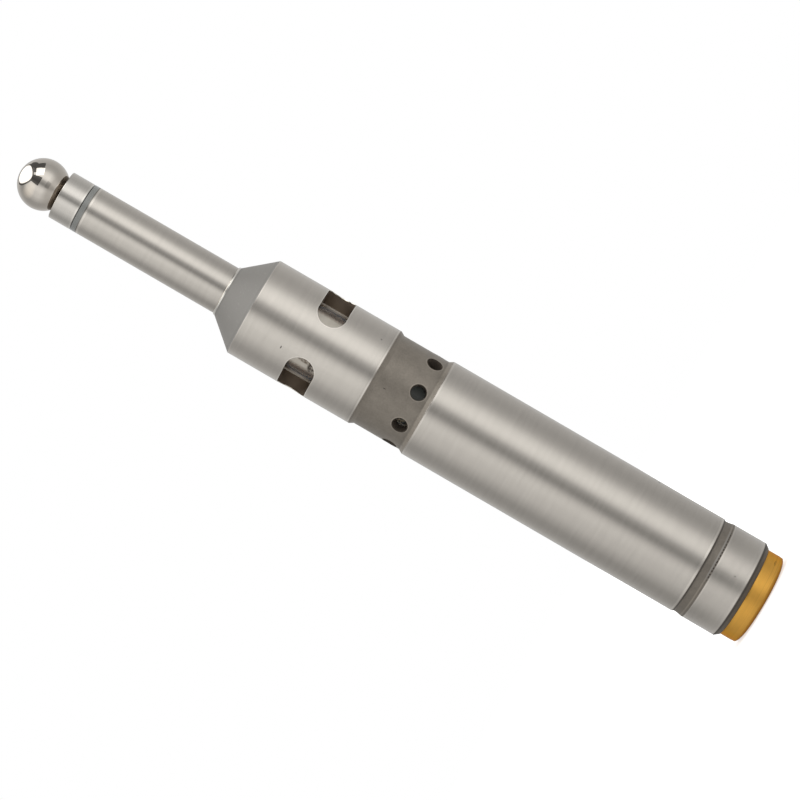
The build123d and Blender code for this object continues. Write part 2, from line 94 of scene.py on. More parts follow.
class EdgeFinderSizes(PropertyGroup):
    """Sizes of the finer forms that stand on the CAD solids."""

    shank_radius: length("Ground radius", "Radius of the ground shank and head", 10.0)
    relief_radius: length("Relief radius", "Radius of the dark relief that holds the sound holes", 9.5)
    stem_radius: length("Stem radius", "Radius of the stem and the nose ring", 4.85)
    groove_foot: length("Groove foot", "Height of the groove's edge nearest the cap", 12.0)
    groove_top: length("Groove top", "Height of the groove's edge nearest the ball", 14.0)
    relief_foot: length("Relief foot", "Height of the relief's rear edge", 73.0)
    relief_top: length("Relief top", "Height of the relief's front edge", 84.5)
    cone_foot: length("Cone foot", "Height at which the head's cone starts", 111.0)
    cone_top: length("Cone top", "Height at which the cone meets the stem", 117.0)
    window_height: length("Window height", "Height of the light windows' middle", 97.3)
    window_width: length("Window width", "Width of a window along the tool", 6.0)
    window_arc: FloatProperty(
        name="Window arc", description="Turn of the head that one window takes, round ends included",
        default=math.radians(77.4), unit="ROTATION")
    sound_hole_height: length("Sound hole height", "Height of the row of sound holes", 76.0)
    sound_hole_diameter: length("Sound hole diameter", "Diameter of a sound hole", 3.0)
    sound_hole_start: FloatProperty(
        name="First sound hole", description="Turn from X to the first sound hole",
        default=math.radians(-35.5), unit="ROTATION")
    window_bead: length("Window edge", "Radius of the bright deburred edge round each window", 0.10)
    hole_bead: length("Hole edge", "Radius of the deburred edge round each sound hole", 0.05)
    stem_shoulder: length("Stem shoulder", "Length of the ground shoulder between cone and stem", 0.3)
    bush_height: length("Bush height", "Height of the bush's upper edge, where the nose ring starts", 148.53)
    ring_edge: length("Ring edge", "Radius of the nose ring's rounded outer edges", 0.16)
    cap_crown: length("Cap crown", "Width of the cap's rounding, measured across the end", 3.3)
    thread_pitch: length("Thread pitch", "Pitch of the battery cap's thread", 1.0)
    thread_depth: length("Thread depth", "Depth of the battery cap's thread", 0.5)
    cap_slot_width: length("Coin slot width", "Width of the slot across the cap's end", 2.0)
    cap_slot_depth: length("Coin slot depth", "Depth of the slot across the cap's end", 1.4)
    spring_radius: length("Spring radius", "Middle radius of the tension spring's coil", 2.0)
    spring_wire: length("Spring wire", "Wire diameter of the tension spring", 0.55)
    spring_turns: IntProperty(
        name="Spring turns", description="Turns of the tension spring", default=27, min=1)
    contact_wire: length("Contact spring wire", "Wire diameter of the cap's contact spring", 0.6)
    contact_turns: IntProperty(
        name="Contact turns", description="Rising turns of the contact spring", default=3, min=1)
    link_wire: length("Link wire", "Wire diameter of the link ring", 0.44)
    link_reach: length("Link reach", "Half the width of the oval link, to the middle of its wire", 1.95)


class EdgeFinderFinishes(PropertyGroup):
    """Colours of the finishes."""

    ground_steel: colour("Ground steel", "Hardened steel, cylindrically ground", "#DAD4CB")
    nose_steel: colour("Nose steel", "Nose ring, ground and polished", "#EBE6DE")
    relief_steel: colour("Hardened steel", "Steel left as it came from hardening", "#938B80")
    cone_steel: colour("Cone steel", "Hardened steel, rubbed with emery after hardening", "#989590")
    # Where it lines the bores and windows, this near-black is also painted shade
    bore_steel: colour("Bore steel", "Bored and milled steel inside the tool", "#3A342E")
    ball_steel: colour("Ball steel", "Lapped bearing ball", "#E8E1D7")
    gold: colour("Gold anodised aluminium", "Turned aluminium with a gold dyed oxide", "#F2B752")
    bush_grey: colour("Bush plastic", "Grey-green turned plastic", "#90918D")
    tube_cream: colour("Light tube", "Acrylic tube, clear with a cream cast", "#F2EADC")


class EdgeFinderStudio(PropertyGroup):
    """Camera, lamps and floor."""

    camera_distance: length("Camera distance", "Distance of the camera from the tool's axis", 777.0)
    camera_height: length("Camera height", "Height of the camera over the floor", 78.3)
    camera_side: length("Camera side", "Shift of the camera along X", -1.37)
    camera_lens: FloatProperty(
        name="Focal length", description="Focal length of the camera in millimetres", default=185.0)
    tool_lean: FloatProperty(
        name="Lean", description="Turn of the picture, so that the tool leans as in the photograph",
        default=math.radians(59.84), unit="ROTATION")
    lamp_radiance: FloatProperty(
        name="Lamp level", description="Brightness of the lamps' faces, 1 is white", default=1.3)
    room_level: FloatProperty(
        name="Room level", description="Brightness of the room for dull surfaces", default=0.55)
    floor_radius: length("Floor radius", "Radius at which the floor has faded into the background", 600.0)


# Mesh code

def grid_mesh(name, points, wrap_rows=False, wrap_columns=True):
    """Makes a mesh from a grid of points, an array of rows x columns x 3.

    Quad (i, j) joins points (i, j), (i, j + 1), (i + 1, j + 1) and (i + 1, j). Where a direction
    wraps, the last row or column is joined to the first. Rows drawn together to a point are merged.
    """
    rows, columns = points.shape[:2]
    index = np.arange(rows * columns).reshape(rows, columns)
    below, above = (index, np.roll(index, -1, 0)) if wrap_rows else (index[:-1], index[1:])
    if wrap_columns:
        corners = (below, np.roll(below, -1, 1), np.roll(above, -1, 1), above)
    else:
        corners = (below[:, :-1], below[:, 1:], above[:, 1:], above[:, :-1])
    quads = np.stack(corners, -1).reshape(-1, 4)
    mesh = bpy.data.meshes.new(name)
    mesh.from_pydata(points.reshape(-1, 3), [], quads)
    work = bmesh.new()
    work.from_mesh(mesh)
    bmesh.ops.remove_doubles(work, verts=work.verts, dist=1e-7)
    bmesh.ops.recalc_face_normals(work, faces=work.faces)
    work.to_mesh(mesh)
    work.free()
    return mesh


def lathe(profile, columns):
    """Turns a profile of (radius, height) rows round Z.

    Point (i, j) = (r_i cos a_j, r_i sin a_j, z_i), with a_j = 2 pi j / columns.
    """
    turn = np.arange(columns) * 2 * np.pi / columns
    radius, height = profile[:, :1], profile[:, 1:]
    return np.stack((radius * np.cos(turn), radius * np.sin(turn), height + 0 * turn), -1)


def tube(path, radius, sides, closed=False, reference=(1.0, -1.0, 1.0)):
    """Carries a circle along a path.

    Point (i, j) = p_i + radius (cos a_j n_i + sin a_j b_i), where t_i is the path's tangent,
    n_i is the reference direction less its part along t_i, at unit length, and b_i = t_i x n_i.
    An open tube starts and ends in a point, so that its ends are closed.
    """
    if closed:
        tangent = np.roll(path, -1, 0) - np.roll(path, 1, 0)
    else:
        tangent = np.gradient(path, axis=0)
    tangent /= np.linalg.norm(tangent, axis=1, keepdims=True)
    normal = np.array(reference) - tangent * (tangent @ np.array(reference))[:, None]
    normal /= np.linalg.norm(normal, axis=1, keepdims=True)
    binormal = np.cross(tangent, normal)
    turn = np.arange(sides) * 2 * np.pi / sides
    ring = np.cos(turn)[:, None] * normal[:, None] + np.sin(turn)[:, None] * binormal[:, None]
    points = path[:, None] + radius * ring
    if closed:
        return points
    ends = [np.repeat(path[i][None, None], sides, 1) for i in (0, -1)]
    return np.concatenate((ends[0], points, ends[1]))


def arc(centre, radius, start, end, count):
    """Points of an arc in a profile: centre + radius (cos a, sin a), with a from start to end in degrees."""
    a = np.radians(np.linspace(start, end, count))
    return np.stack((centre[0] + radius * np.cos(a), centre[1] + radius * np.sin(a)), -1)


def cylinder_point(angle, radius, height):
    """Points at a turn round Z, a radius and a height, as an array of rows of x, y and z."""
    return np.stack((radius * np.cos(angle), radius * np.sin(angle), height + 0 * angle), -1)


def piece(name, mesh, material, body, replaced=(), sharp=35.0):
    """Links a mesh as a smooth piece that rides on a body, with edges sharper than the angle kept."""
    mesh.shade_smooth()
    mesh.set_sharp_from_angle(angle=math.radians(sharp))
    mesh.materials.append(material)
    made = bpy.data.objects.new(name, mesh)
    bpy.context.scene.collection.objects.link(made)
    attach(made, body)
    if replaced:
        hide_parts(*replaced)
    return made


def finish_node(node, material):
    """Gives a CAD node its finish."""
    NODES[node].material_slots[0].material = material


# Materials

def add(tree, kind, inputs=(), output=0, **settings):
    """Adds a shader node, such as TexNoise, with its settings, and gives one of its outputs.

    The inputs are a row, or a dictionary by index or name. A socket is linked, and any other
    value is set. A node without outputs is given itself.
    """
    node = tree.nodes.new("ShaderNode" + kind)
    for key, value in settings.items():
        setattr(node, key, value)
    for key, value in (inputs.items() if isinstance(inputs, dict) else enumerate(inputs)):
        socket = node.inputs[key]
        if isinstance(value, bpy.types.NodeSocket):
            tree.links.new(value, socket)
        else:
            socket.default_value = rgba(value) if socket.type == "RGBA" else value
    return node.outputs[output] if len(node.outputs) else node


def rgba(value):
    """A colour with full alpha, from sRGB hex or from linear parts."""
    return (*(linear_from_hex(value) if isinstance(value, str) else value), 1.0)


def new_material(name, **principled):
    """Starts a material with one Principled shader, whose fixed values are given by name."""
    material = bpy.data.materials.new(name)
    material.use_nodes = True
    shader = material.node_tree.nodes["Principled BSDF"]
    for key, value in principled.items():
        shader.inputs[key.replace("_", " ").title().replace("Ior", "IOR")].default_value = value
    return material, material.node_tree, shader


def sum_of_squares(tree, first, second):
    """First squared plus second squared."""
    squares = [add(tree, "Math", (part, part), operation="MULTIPLY") for part in (first, second)]
    return add(tree, "Math", squares, operation="ADD")


def place(tree):
    """Object coordinates, whole and as x, y and z, with the distance from the axis and the turn round it."""
    whole = add(tree, "TexCoord", output="Object")
    x, y, z = add(tree, "SeparateXYZ", (whole,)).node.outputs
    radius = add(tree, "Math", (sum_of_squares(tree, x, y),), operation="SQRT")
    turn = add(tree, "Math", (y, x), operation="ARCTAN2")
    return SimpleNamespace(whole=whole, x=x, y=y, z=z, radius=radius, turn=turn)


def band(tree, value, low, high):
    """1 where the value lies between low and high, otherwise 0."""
    above = add(tree, "Math", (value, low), operation="GREATER_THAN")
    below = add(tree, "Math", (value, high), operation="LESS_THAN")
    return add(tree, "Math", (above, below), operation="MULTIPLY")


def lathe_lines(tree, at, spacing):
    """Fine lines that run round the axis, as a lathe or a grinding wheel leaves them.

    The noise changes over one spacing along the axis or outward, and slowly round the tool.
    Grinding lines are finer than the render shows, so they are drawn as coarse as it needs.
    """
    drift = 8 * MM
    outward = add(tree, "Math", (at.radius, spacing), operation="DIVIDE")
    aside = add(tree, "Math", (at.x, drift), operation="DIVIDE")
    steps = (
        add(tree, "Math", (outward, aside), operation="ADD"),
        add(tree, "Math", (at.y, drift), operation="DIVIDE"),
        add(tree, "Math", (at.z, spacing), operation="DIVIDE"),
    )
    return add(tree, "TexNoise", {"Vector": add(tree, "CombineXYZ", steps), "Scale": 1.0, "Detail": 2.0})


def by_stops(tree, value, low, high, stops, most=1.0):
    """Maps a value by straight runs between stops of (value, level), with levels from 0 to most."""
    level = add(tree, "ValToRGB", (add(tree, "MapRange", (value, low, high, 0.0, 1.0)),))
    elements = level.node.color_ramp.elements
    while len(elements) < len(stops):
        elements.new(0.5)
    for element, (position, height) in zip(elements, stops):
        element.position = (position - low) / (high - low)
        element.color = rgba((height / most,) * 3)
    return level if most == 1.0 else add(tree, "Math", (level, most), operation="MULTIPLY")


def mark(tree, at, turn, height, half_width, half_height):
    """1 on a small oval mark on the tool's skin, at a turn in degrees and a height, otherwise 0."""
    around = add(tree, "Math", (at.turn, math.radians(turn)), operation="SUBTRACT")
    around = add(tree, "Math", (around, 10 * MM / half_width), operation="MULTIPLY")
    along = add(tree, "Math", (at.z, height), operation="SUBTRACT")
    along = add(tree, "Math", (along, half_height), operation="DIVIDE")
    return add(tree, "MapRange", (sum_of_squares(tree, around, along), 0.5, 1.4, 1.0, 0.0))


def patchy_mark(tree, at, oval, lump, levels):
    """A mark, broken up by noise whose lumps are of the given size in metres."""
    noise = add(tree, "TexNoise", {"Vector": at.whole, "Scale": 1 / lump, "Detail": 3.0})
    patches = add(tree, "MapRange", (noise, *levels))
    return add(tree, "Math", (mark(tree, at, *oval), patches), operation="MULTIPLY")


def from_opening(tree, at, radius, start, count, height, half_run):
    """Distance on the skin from the middle line of the nearest of a ring of like openings.

    The nearest opening is found by wrapping the turn, and an opening's middle line is half_run
    long to each side: d = sqrt(max(|radius turn| - half_run, 0) squared + (z - height) squared).
    """
    half_step = math.pi / count
    from_start = add(tree, "Math", (at.turn, start), operation="SUBTRACT")
    local = add(tree, "Math", (from_start, half_step, -half_step), operation="WRAP")
    aside = add(tree, "Math", (local,), operation="ABSOLUTE")
    aside = add(tree, "Math", (aside, radius), operation="MULTIPLY")
    beyond = add(tree, "Math", (aside, half_run), operation="SUBTRACT")
    beyond = add(tree, "Math", (beyond, 0.0), operation="MAXIMUM")
    above = add(tree, "Math", (at.z, height), operation="SUBTRACT")
    return add(tree, "Math", (sum_of_squares(tree, beyond, above),), operation="SQRT")


def shade(tree, tint, amount):
    """Multiplies a colour by a grey amount."""
    grey = add(tree, "CombineColor", (amount, amount, amount))
    return add(tree, "Mix", {0: 1.0, 6: tint, 7: grey}, 2, data_type="RGBA", blend_type="MULTIPLY")


# Painted light and shade on the body's steel by height in millimetres, first over its whole length:
# darker towards the rear, where the floor shades it, and brighter at the head, nearer the overhead lamp
SLOW_PAINTED_LIGHT = (
    (0.0, 0.9), (5.2, 0.9), (11.4, 0.88), (14.2, 0.94), (45.0, 1.0), (72.6, 1.02), (74.0, 0.97),
    (84.0, 0.98), (86.0, 1.07), (97.0, 1.11), (110.0, 1.1), (112.0, 1.0), (116.5, 0.98), (118.0, 1.04),
    (135.0, 1.1), (162.0, 1.1))
# Then edge by edge, times the level above: at each ground edge a painted highlight stands for the light
# that its thin deburred line catches, and beside it lies a painted shade line. A ramp has 256 steps, so
# each edge has its own, as fine as its lines.
EDGE_GLINTS_AND_SHADE = (
    # Rear chamfer, painted darker as shade, with a painted highlight on its edge
    ((4.0, 0.6), (4.6, 0.58), (4.74, 0.36), (5.02, 0.34), (5.1, 0.9), (5.2, 1.08), (5.45, 1.08), (5.6, 1.0)),
    # Groove, from its long flank to its short one: painted highlights at its edges, painted shade under the
    # step
    ((11.3, 1.0), (11.42, 1.0), (11.5, 1.12), (11.66, 1.12), (11.74, 0.85), (12.08, 0.85), (12.14, 1.2),
     (12.34, 1.2), (12.44, 0.87), (13.6, 0.87), (13.72, 0.7), (13.84, 0.4), (14.02, 0.38), (14.1, 1.0),
     (14.2, 1.18), (14.42, 1.18), (14.6, 1.0)),
    # Rear edge of the relief: a painted highlight on the shank's edge, painted light on the
    # ramp that faces the lamp, then a painted shade line
    ((72.3, 1.0), (72.62, 1.0), (72.7, 1.14), (72.92, 1.14), (73.04, 1.0), (73.1, 1.22), (73.7, 1.22),
     (73.9, 0.92), (74.1, 0.9), (74.3, 0.96), (75.0, 1.0)),
    # Front edge of the relief: a painted shade line against the head, then a painted highlight on its edge
    ((83.9, 1.0), (84.3, 0.94), (84.4, 0.84), (84.62, 0.84), (84.72, 1.0), (84.8, 1.14), (84.97, 1.14),
     (85.07, 0.96), (85.25, 0.96), (85.5, 1.0)),
    # Foot and top of the cone: a painted highlight on the head's edge, painted shade lines beside it
    # and at the stem
    ((110.4, 1.0), (110.75, 1.0), (110.82, 1.14), (110.98, 1.14), (111.1, 1.0), (111.2, 0.93), (111.45, 0.92),
     (111.6, 1.0)),
    ((116.3, 1.0), (116.5, 0.86), (116.8, 0.86), (117.0, 1.0)),
    # Front end of the stem: a painted highlight, and a painted shade line against the bush
    ((146.5, 1.0), (146.75, 1.0), (146.85, 1.22), (147.1, 1.22), (147.2, 1.0), (147.26, 0.42), (147.4, 0.42)),
)
# Small dents and stains: turn in degrees, then height, half width and half height in millimetres
BODY_MARKS = (
    (-13.6, 28.2, 0.22, 0.2), (-96.0, 81.9, 0.09, 0.3), (-48.0, 87.0, 0.12, 0.12), (-81.0, 7.7, 0.1, 0.12),
    (-113.6, 102.5, 0.3, 0.11),
)


# Height at which the dark chamfer at the rear ends
CHAMFER_TOP = 5.1 * MM
# What lies nearer the axis than this is bored or milled, from the cone's foot on and in the rest of the body
STEM_SKIN, BODY_SKIN = 4.7 * MM, 9.35 * MM
# The head is wider than the relief, so within this height of the windows' middle the limit lies further out
MILLED_HALF, MILLED_EXTRA = 3.3 * MM, 0.57 * MM
# From and to height of the dots that the chattering tool left, and of the paler strip beside them
CHATTER, PALE_STRIP = (11.8 * MM, 12.06 * MM), (12.08 * MM, 12.38 * MM)


def ground_tool_steel(sizes, finishes):
    """Hardened tool steel, cylindrically ground on its working diameters.

    The ground bands are bright, with faint streaks round the axis. The relief, the groove and the
    rear chamfer keep the dull brown-grey skin of hardening, the cone is a flat grey from emery, and
    the bores and milled windows are dark, painted darker still as the shade inside them. Painted light
    and shade also run along the tool by height, with painted highlights and shade lines at its edges.
    """
    material, tree, shader = new_material("ground_tool_steel")
    at = place(tree)
    fine = lathe_lines(tree, at, 0.16 * MM)
    coarse = lathe_lines(tree, at, 0.9 * MM)
    mottle = add(tree, "TexNoise", {"Vector": at.whole, "Scale": 1 / (1.6 * MM), "Detail": 3.0})
    speckle = add(tree, "TexNoise", {"Vector": at.whole, "Scale": 1 / (0.35 * MM), "Detail": 3.0})

    rear = add(tree, "Math", (at.z, CHAMFER_TOP), operation="LESS_THAN")
    groove = band(tree, at.z, sizes.groove_foot - 0.28 * MM, sizes.groove_top + 0.08 * MM)
    relief = band(tree, at.z, sizes.relief_foot + 0.05 * MM, sizes.relief_top + 0.22 * MM)
    dull = add(tree, "Math", (add(tree, "Math", (rear, groove), operation="ADD"), relief), operation="ADD")
    cone = band(tree, at.z, sizes.cone_foot, sizes.cone_top)
    wide = add(tree, "Math", (at.z, sizes.cone_foot), operation="LESS_THAN")
    skin = add(tree, "MapRange", (wide, 0.0, 1.0, STEM_SKIN, BODY_SKIN))
    milled = band(tree, at.z, sizes.window_height - MILLED_HALF, sizes.window_height + MILLED_HALF)
    extra = add(tree, "Math", (milled, MILLED_EXTRA), operation="MULTIPLY")
    skin = add(tree, "Math", (skin, extra), operation="ADD")
    inside = add(tree, "Math", (at.radius, skin), operation="LESS_THAN")

    # Round the windows a painted highlight stands for the light on the deburred edge, and round each hole
    # a painted highlight ring with a painted shade line at its edge
    half_window = sizes.window_width / 2
    to_window = from_opening(
        tree, at, sizes.shank_radius, math.radians(90), 3, sizes.window_height,
        sizes.shank_radius * sizes.window_arc / 2 - half_window)
    to_hole = from_opening(
        tree, at, sizes.relief_radius, sizes.sound_hole_start, 8, sizes.sound_hole_height, 0.0)
    rubbed = add(tree, "MapRange", (to_window, half_window + 0.06 * MM, half_window + 0.16 * MM, 1.15, 1.0))
    rim = add(tree, "Math", (to_hole, sizes.sound_hole_diameter / 2), operation="SUBTRACT")
    painted_hole_rim = by_stops(tree, rim, 0.0, 0.4 * MM, (
        (0.0, 0.5), (0.1 * MM, 0.5), (0.14 * MM, 1.4), (0.22 * MM, 1.4), (0.34 * MM, 1.0)), 1.4)

    # On the groove's flank the turning tool chattered, and left a row of dark dots on a paler strip
    wander = add(tree, "TexNoise", {"W": at.turn, "Scale": 5.0, "Detail": 1.0}, noise_dimensions="1D")
    swings = add(tree, "Math", (at.turn, 92.0), operation="MULTIPLY")
    drift = add(tree, "Math", (wander, 9.0), operation="MULTIPLY")
    beat = add(tree, "Math", (add(tree, "Math", (swings, drift), operation="ADD"),), operation="COSINE")
    stretch = by_stops(tree, at.turn, -math.pi, math.pi, (
        (-math.pi, 0.0), (-1.8, 0.0), (-1.65, 0.95), (-0.65, 0.95), (-0.45, 0.0)))
    dots = add(tree, "MapRange", (beat, -0.2, 0.4, 0.0, 1.0))
    chatter = add(tree, "Math", (band(tree, at.z, *CHATTER), dots), operation="MULTIPLY")
    chatter = add(tree, "Math", (chatter, stretch), operation="MULTIPLY")
    paler = add(tree, "Math", (stretch, 0.7), operation="MULTIPLY")
    strip = add(tree, "Math", (band(tree, at.z, *PALE_STRIP), paler), operation="MULTIPLY")

    streaks = add(tree, "Math", (fine, coarse), operation="ADD")
    ground = shade(tree, finishes.ground_steel, add(tree, "MapRange", (streaks, 0.7, 1.3, 0.97, 1.03)))
    lumps = add(tree, "Math", (mottle, speckle), operation="ADD")
    dark = shade(tree, finishes.relief_steel, add(tree, "MapRange", (lumps, 0.7, 1.3, 0.88, 1.1)))
    emery = shade(tree, finishes.cone_steel, add(tree, "MapRange", (speckle, 0.62, 0.72, 1.0, 1.25)))
    dark = add(tree, "Mix", {0: strip, 6: dark, 7: finishes.cone_steel}, 2, data_type="RGBA")
    tint = add(tree, "Mix", {0: dull, 6: ground, 7: dark}, 2, data_type="RGBA")
    # Times the painted highlights and shade lines at the window and hole edges
    tint = shade(tree, tint, add(tree, "Math", (rubbed, painted_hole_rim), operation="MULTIPLY"))
    tint = add(tree, "Mix", {0: cone, 6: tint, 7: emery}, 2, data_type="RGBA")
    # Painted light and shade by height, then painted highlights and shade lines at the edges
    for levels in (SLOW_PAINTED_LIGHT, *EDGE_GLINTS_AND_SHADE):
        stops = [(height * MM, level) for height, level in levels]
        tint = shade(tree, tint, by_stops(tree, at.z, stops[0][0], stops[-1][0], stops, 1.25))
    tint = add(tree, "Mix", {0: chatter, 6: tint, 7: finishes.bore_steel}, 2, data_type="RGBA")
    for at_turn, height, half_width, half_height in BODY_MARKS:
        spot = mark(tree, at, at_turn, height * MM, half_width * MM, half_height * MM)
        spot = add(tree, "Math", (spot, 0.8), operation="MULTIPLY")
        tint = add(tree, "Mix", {0: spot, 6: tint, 7: finishes.bore_steel}, 2, data_type="RGBA")
    # The inside is painted dark as shade. The head's bore and the sound holes are brighter than the rest,
    # because light falls in
    reamed, drilled = band(tree, at.z, 90 * MM, 106 * MM), band(tree, at.z, 74 * MM, 78.5 * MM)
    deep = add(tree, "Mix", {0: reamed, 6: finishes.bore_steel, 7: "#86796C"}, 2, data_type="RGBA")
    deep = add(tree, "Mix", {0: drilled, 6: deep, 7: "#6E645A"}, 2, data_type="RGBA")
    tint = add(tree, "Mix", {0: inside, 6: tint, 7: deep}, 2, data_type="RGBA")
    tree.links.new(tint, shader.inputs["Base Color"])

    # The skin of hardening is an oxide and emery leaves a matt face, so both look only partly like metal
    matt = add(tree, "Math", (dull, cone), operation="MAXIMUM")
    metal = add(tree, "Mix", {0: matt, 2: 1.0, 3: 0.4})
    metal = add(tree, "Mix", {0: cone, 2: metal, 3: 0.15})
    tree.links.new(metal, shader.inputs["Metallic"])
    stem = add(tree, "Math", (at.z, sizes.cone_top), operation="GREATER_THAN")
    smoother = add(tree, "Math", (stem, 0.025), operation="MULTIPLY")
    smooth = add(tree, "MapRange", (fine, 0.3, 0.7, 0.19, 0.25))
    smooth = add(tree, "Math", (smooth, smoother), operation="SUBTRACT")
    rough = add(tree, "Mix", {0: matt, 2: smooth, 3: 0.52})
    rough = add(tree, "Mix", {0: relief, 2: rough, 3: 0.36})
    rough = add(tree, "Mix", {0: inside, 2: rough, 3: 0.6})
    tree.links.new(rough, shader.inputs["Roughness"])
    raised = add(tree, "Math", (matt, speckle), operation="MULTIPLY")
    raised = add(tree, "Math", (fine, raised), operation="ADD")
    bumps = add(tree, "Bump", {"Height": raised, "Distance": 0.004 * MM, "Strength": 0.25})
    tree.links.new(bumps, shader.inputs["Normal"])
    return material


def ground_ring_steel(finishes):
    """The same steel, ground and polished: bright, with very fine streaks round the axis."""
    material, tree, shader = new_material("ground_ring_steel", metallic=1.0)
    at = place(tree)
    fine = lathe_lines(tree, at, 0.16 * MM)
    # Its rear edge is broken by a stone, and a painted highlight lies on it: below that edge, everything
    # in this finish is painted 1.22 times brighter, the window edges and the stem's shoulder too
    painted_glint = add(tree, "MapRange", (at.z, 148.75 * MM, 148.95 * MM, 1.22, 1.0))
    streaks = add(tree, "MapRange", (fine, 0.3, 0.7, 0.98, 1.02))
    bright = shade(tree, finishes.nose_steel, add(tree, "Math", (painted_glint, streaks), operation="MULTIPLY"))
    # The ring's mouth is turned and dark brown, darker towards the seat, as the ball mirrors it
    mouth = add(tree, "Math", (at.radius, 4.7 * MM), operation="LESS_THAN")
    outward = add(tree, "MapRange", (at.radius, 3.3 * MM, 4.3 * MM, 0.0, 1.0))
    mouth_tone = add(tree, "Mix", {0: outward, 6: finishes.bore_steel, 7: "#7F766C"}, 2, data_type="RGBA")
    tint = add(tree, "Mix", {0: mouth, 6: bright, 7: mouth_tone}, 2, data_type="RGBA")
    tree.links.new(tint, shader.inputs["Base Color"])
    smooth = add(tree, "MapRange", (fine, 0.3, 0.7, 0.10, 0.15))
    tree.links.new(add(tree, "Mix", {0: mouth, 2: smooth, 3: 0.35}), shader.inputs["Roughness"])
    bumps = add(tree, "Bump", {"Height": fine, "Distance": 0.004 * MM, "Strength": 0.25})
    tree.links.new(bumps, shader.inputs["Normal"])
    return material


def lapped_ball_steel(finishes):
    """Bearing steel, lapped to a mirror: sharp reflections with only a breath of haze."""
    material, tree, shader = new_material("lapped_ball_steel", metallic=1.0)
    at = place(tree)
    haze = add(tree, "TexNoise", {"Vector": at.whole, "Scale": 1 / (2.5 * MM), "Detail": 3.0})
    tint = shade(tree, finishes.ball_steel, add(tree, "MapRange", (haze, 0.3, 0.7, 0.95, 1.03)))
    tree.links.new(tint, shader.inputs["Base Color"])
    tree.links.new(add(tree, "MapRange", (haze, 0.3, 0.7, 0.03, 0.07)), shader.inputs["Roughness"])
    return material


def gold_anodised_aluminium(finishes):
    """Turned aluminium under a gold dyed oxide: satin, with fine rings and two deeper ones near the end."""
    # The dye deepens what is seen at a slant, so the tint at the edge is a darker gold
    material, tree, shader = new_material(
        "gold_anodised_aluminium", metallic=1.0, coat_weight=0.3, coat_roughness=0.35,
        specular_tint=rgba("#E0B060"))
    at = place(tree)
    fine = lathe_lines(tree, at, 0.12 * MM)
    coarse = lathe_lines(tree, at, 0.55 * MM)
    cloud = add(tree, "TexNoise", {"Vector": at.whole, "Scale": 1 / (3 * MM), "Detail": 3.0})
    streaks = add(tree, "Math", (fine, coarse), operation="ADD")
    amount = add(tree, "MapRange", (streaks, 0.7, 1.3, 0.93, 1.05))
    cloudy = add(tree, "MapRange", (cloud, 0.3, 0.7, 0.95, 1.05))
    amount = add(tree, "Math", (amount, cloudy), operation="MULTIPLY")
    # Towards the end the gold is painted darker: painted shade on the rounded end near the floor
    painted_end_shade = add(tree, "MapRange", (at.z, 0.0, 1.3 * MM, 0.86, 1.0))
    amount = add(tree, "Math", (amount, painted_end_shade), operation="MULTIPLY")
    # Two deeper rings run round from +X and fade out beyond the front
    rings = by_stops(tree, at.z, 0.0, 4 * MM, [(height * MM, level) for height, level in (
        (1.2, 0.0), (1.28, 0.12), (1.36, 0.0), (1.86, 0.0), (1.95, 0.2), (2.04, 0.0))])
    fading = add(tree, "MapRange", (at.turn, -1.9, -1.3, 0.3, 1.0))
    rings = add(tree, "Math", (rings, fading), operation="MULTIPLY")
    kept = add(tree, "Math", (1.0, rings), operation="SUBTRACT")
    tint = shade(tree, finishes.gold, add(tree, "Math", (amount, kept), operation="MULTIPLY"))
    stain = patchy_mark(
        tree, at, (-34.0, 1.97 * MM, 0.9 * MM, 0.2 * MM), 0.4 * MM, (0.45, 0.6, 0.1, 0.7))
    tint = add(tree, "Mix", {0: stain, 6: tint, 7: "#6E4318"}, 2, data_type="RGBA")
    tree.links.new(tint, shader.inputs["Base Color"])
    tree.links.new(add(tree, "MapRange", (coarse, 0.3, 0.7, 0.30, 0.42)), shader.inputs["Roughness"])
    bumps = add(tree, "Bump", {"Height": coarse, "Distance": 0.006 * MM, "Strength": 0.5})
    tree.links.new(bumps, shader.inputs["Normal"])
    return material


def plain_finish(name, code, metallic, roughness, size, depth=0.10, **more):
    """One even material: its colour varies by depth over lumps of the given size in metres."""
    material, tree, shader = new_material(name, metallic=metallic, **more)
    at = place(tree)
    lumps = add(tree, "TexNoise", {"Vector": at.whole, "Scale": 1 / size, "Detail": 3.0})
    tint = shade(tree, code, add(tree, "MapRange", (lumps, 0.3, 0.7, 1 - depth, 1 + depth / 2)))
    gloss = add(tree, "MapRange", (lumps, 0.3, 0.7, roughness * 0.85, roughness * 1.15))
    tree.links.new(tint, shader.inputs["Base Color"])
    tree.links.new(gloss, shader.inputs["Roughness"])
    return material


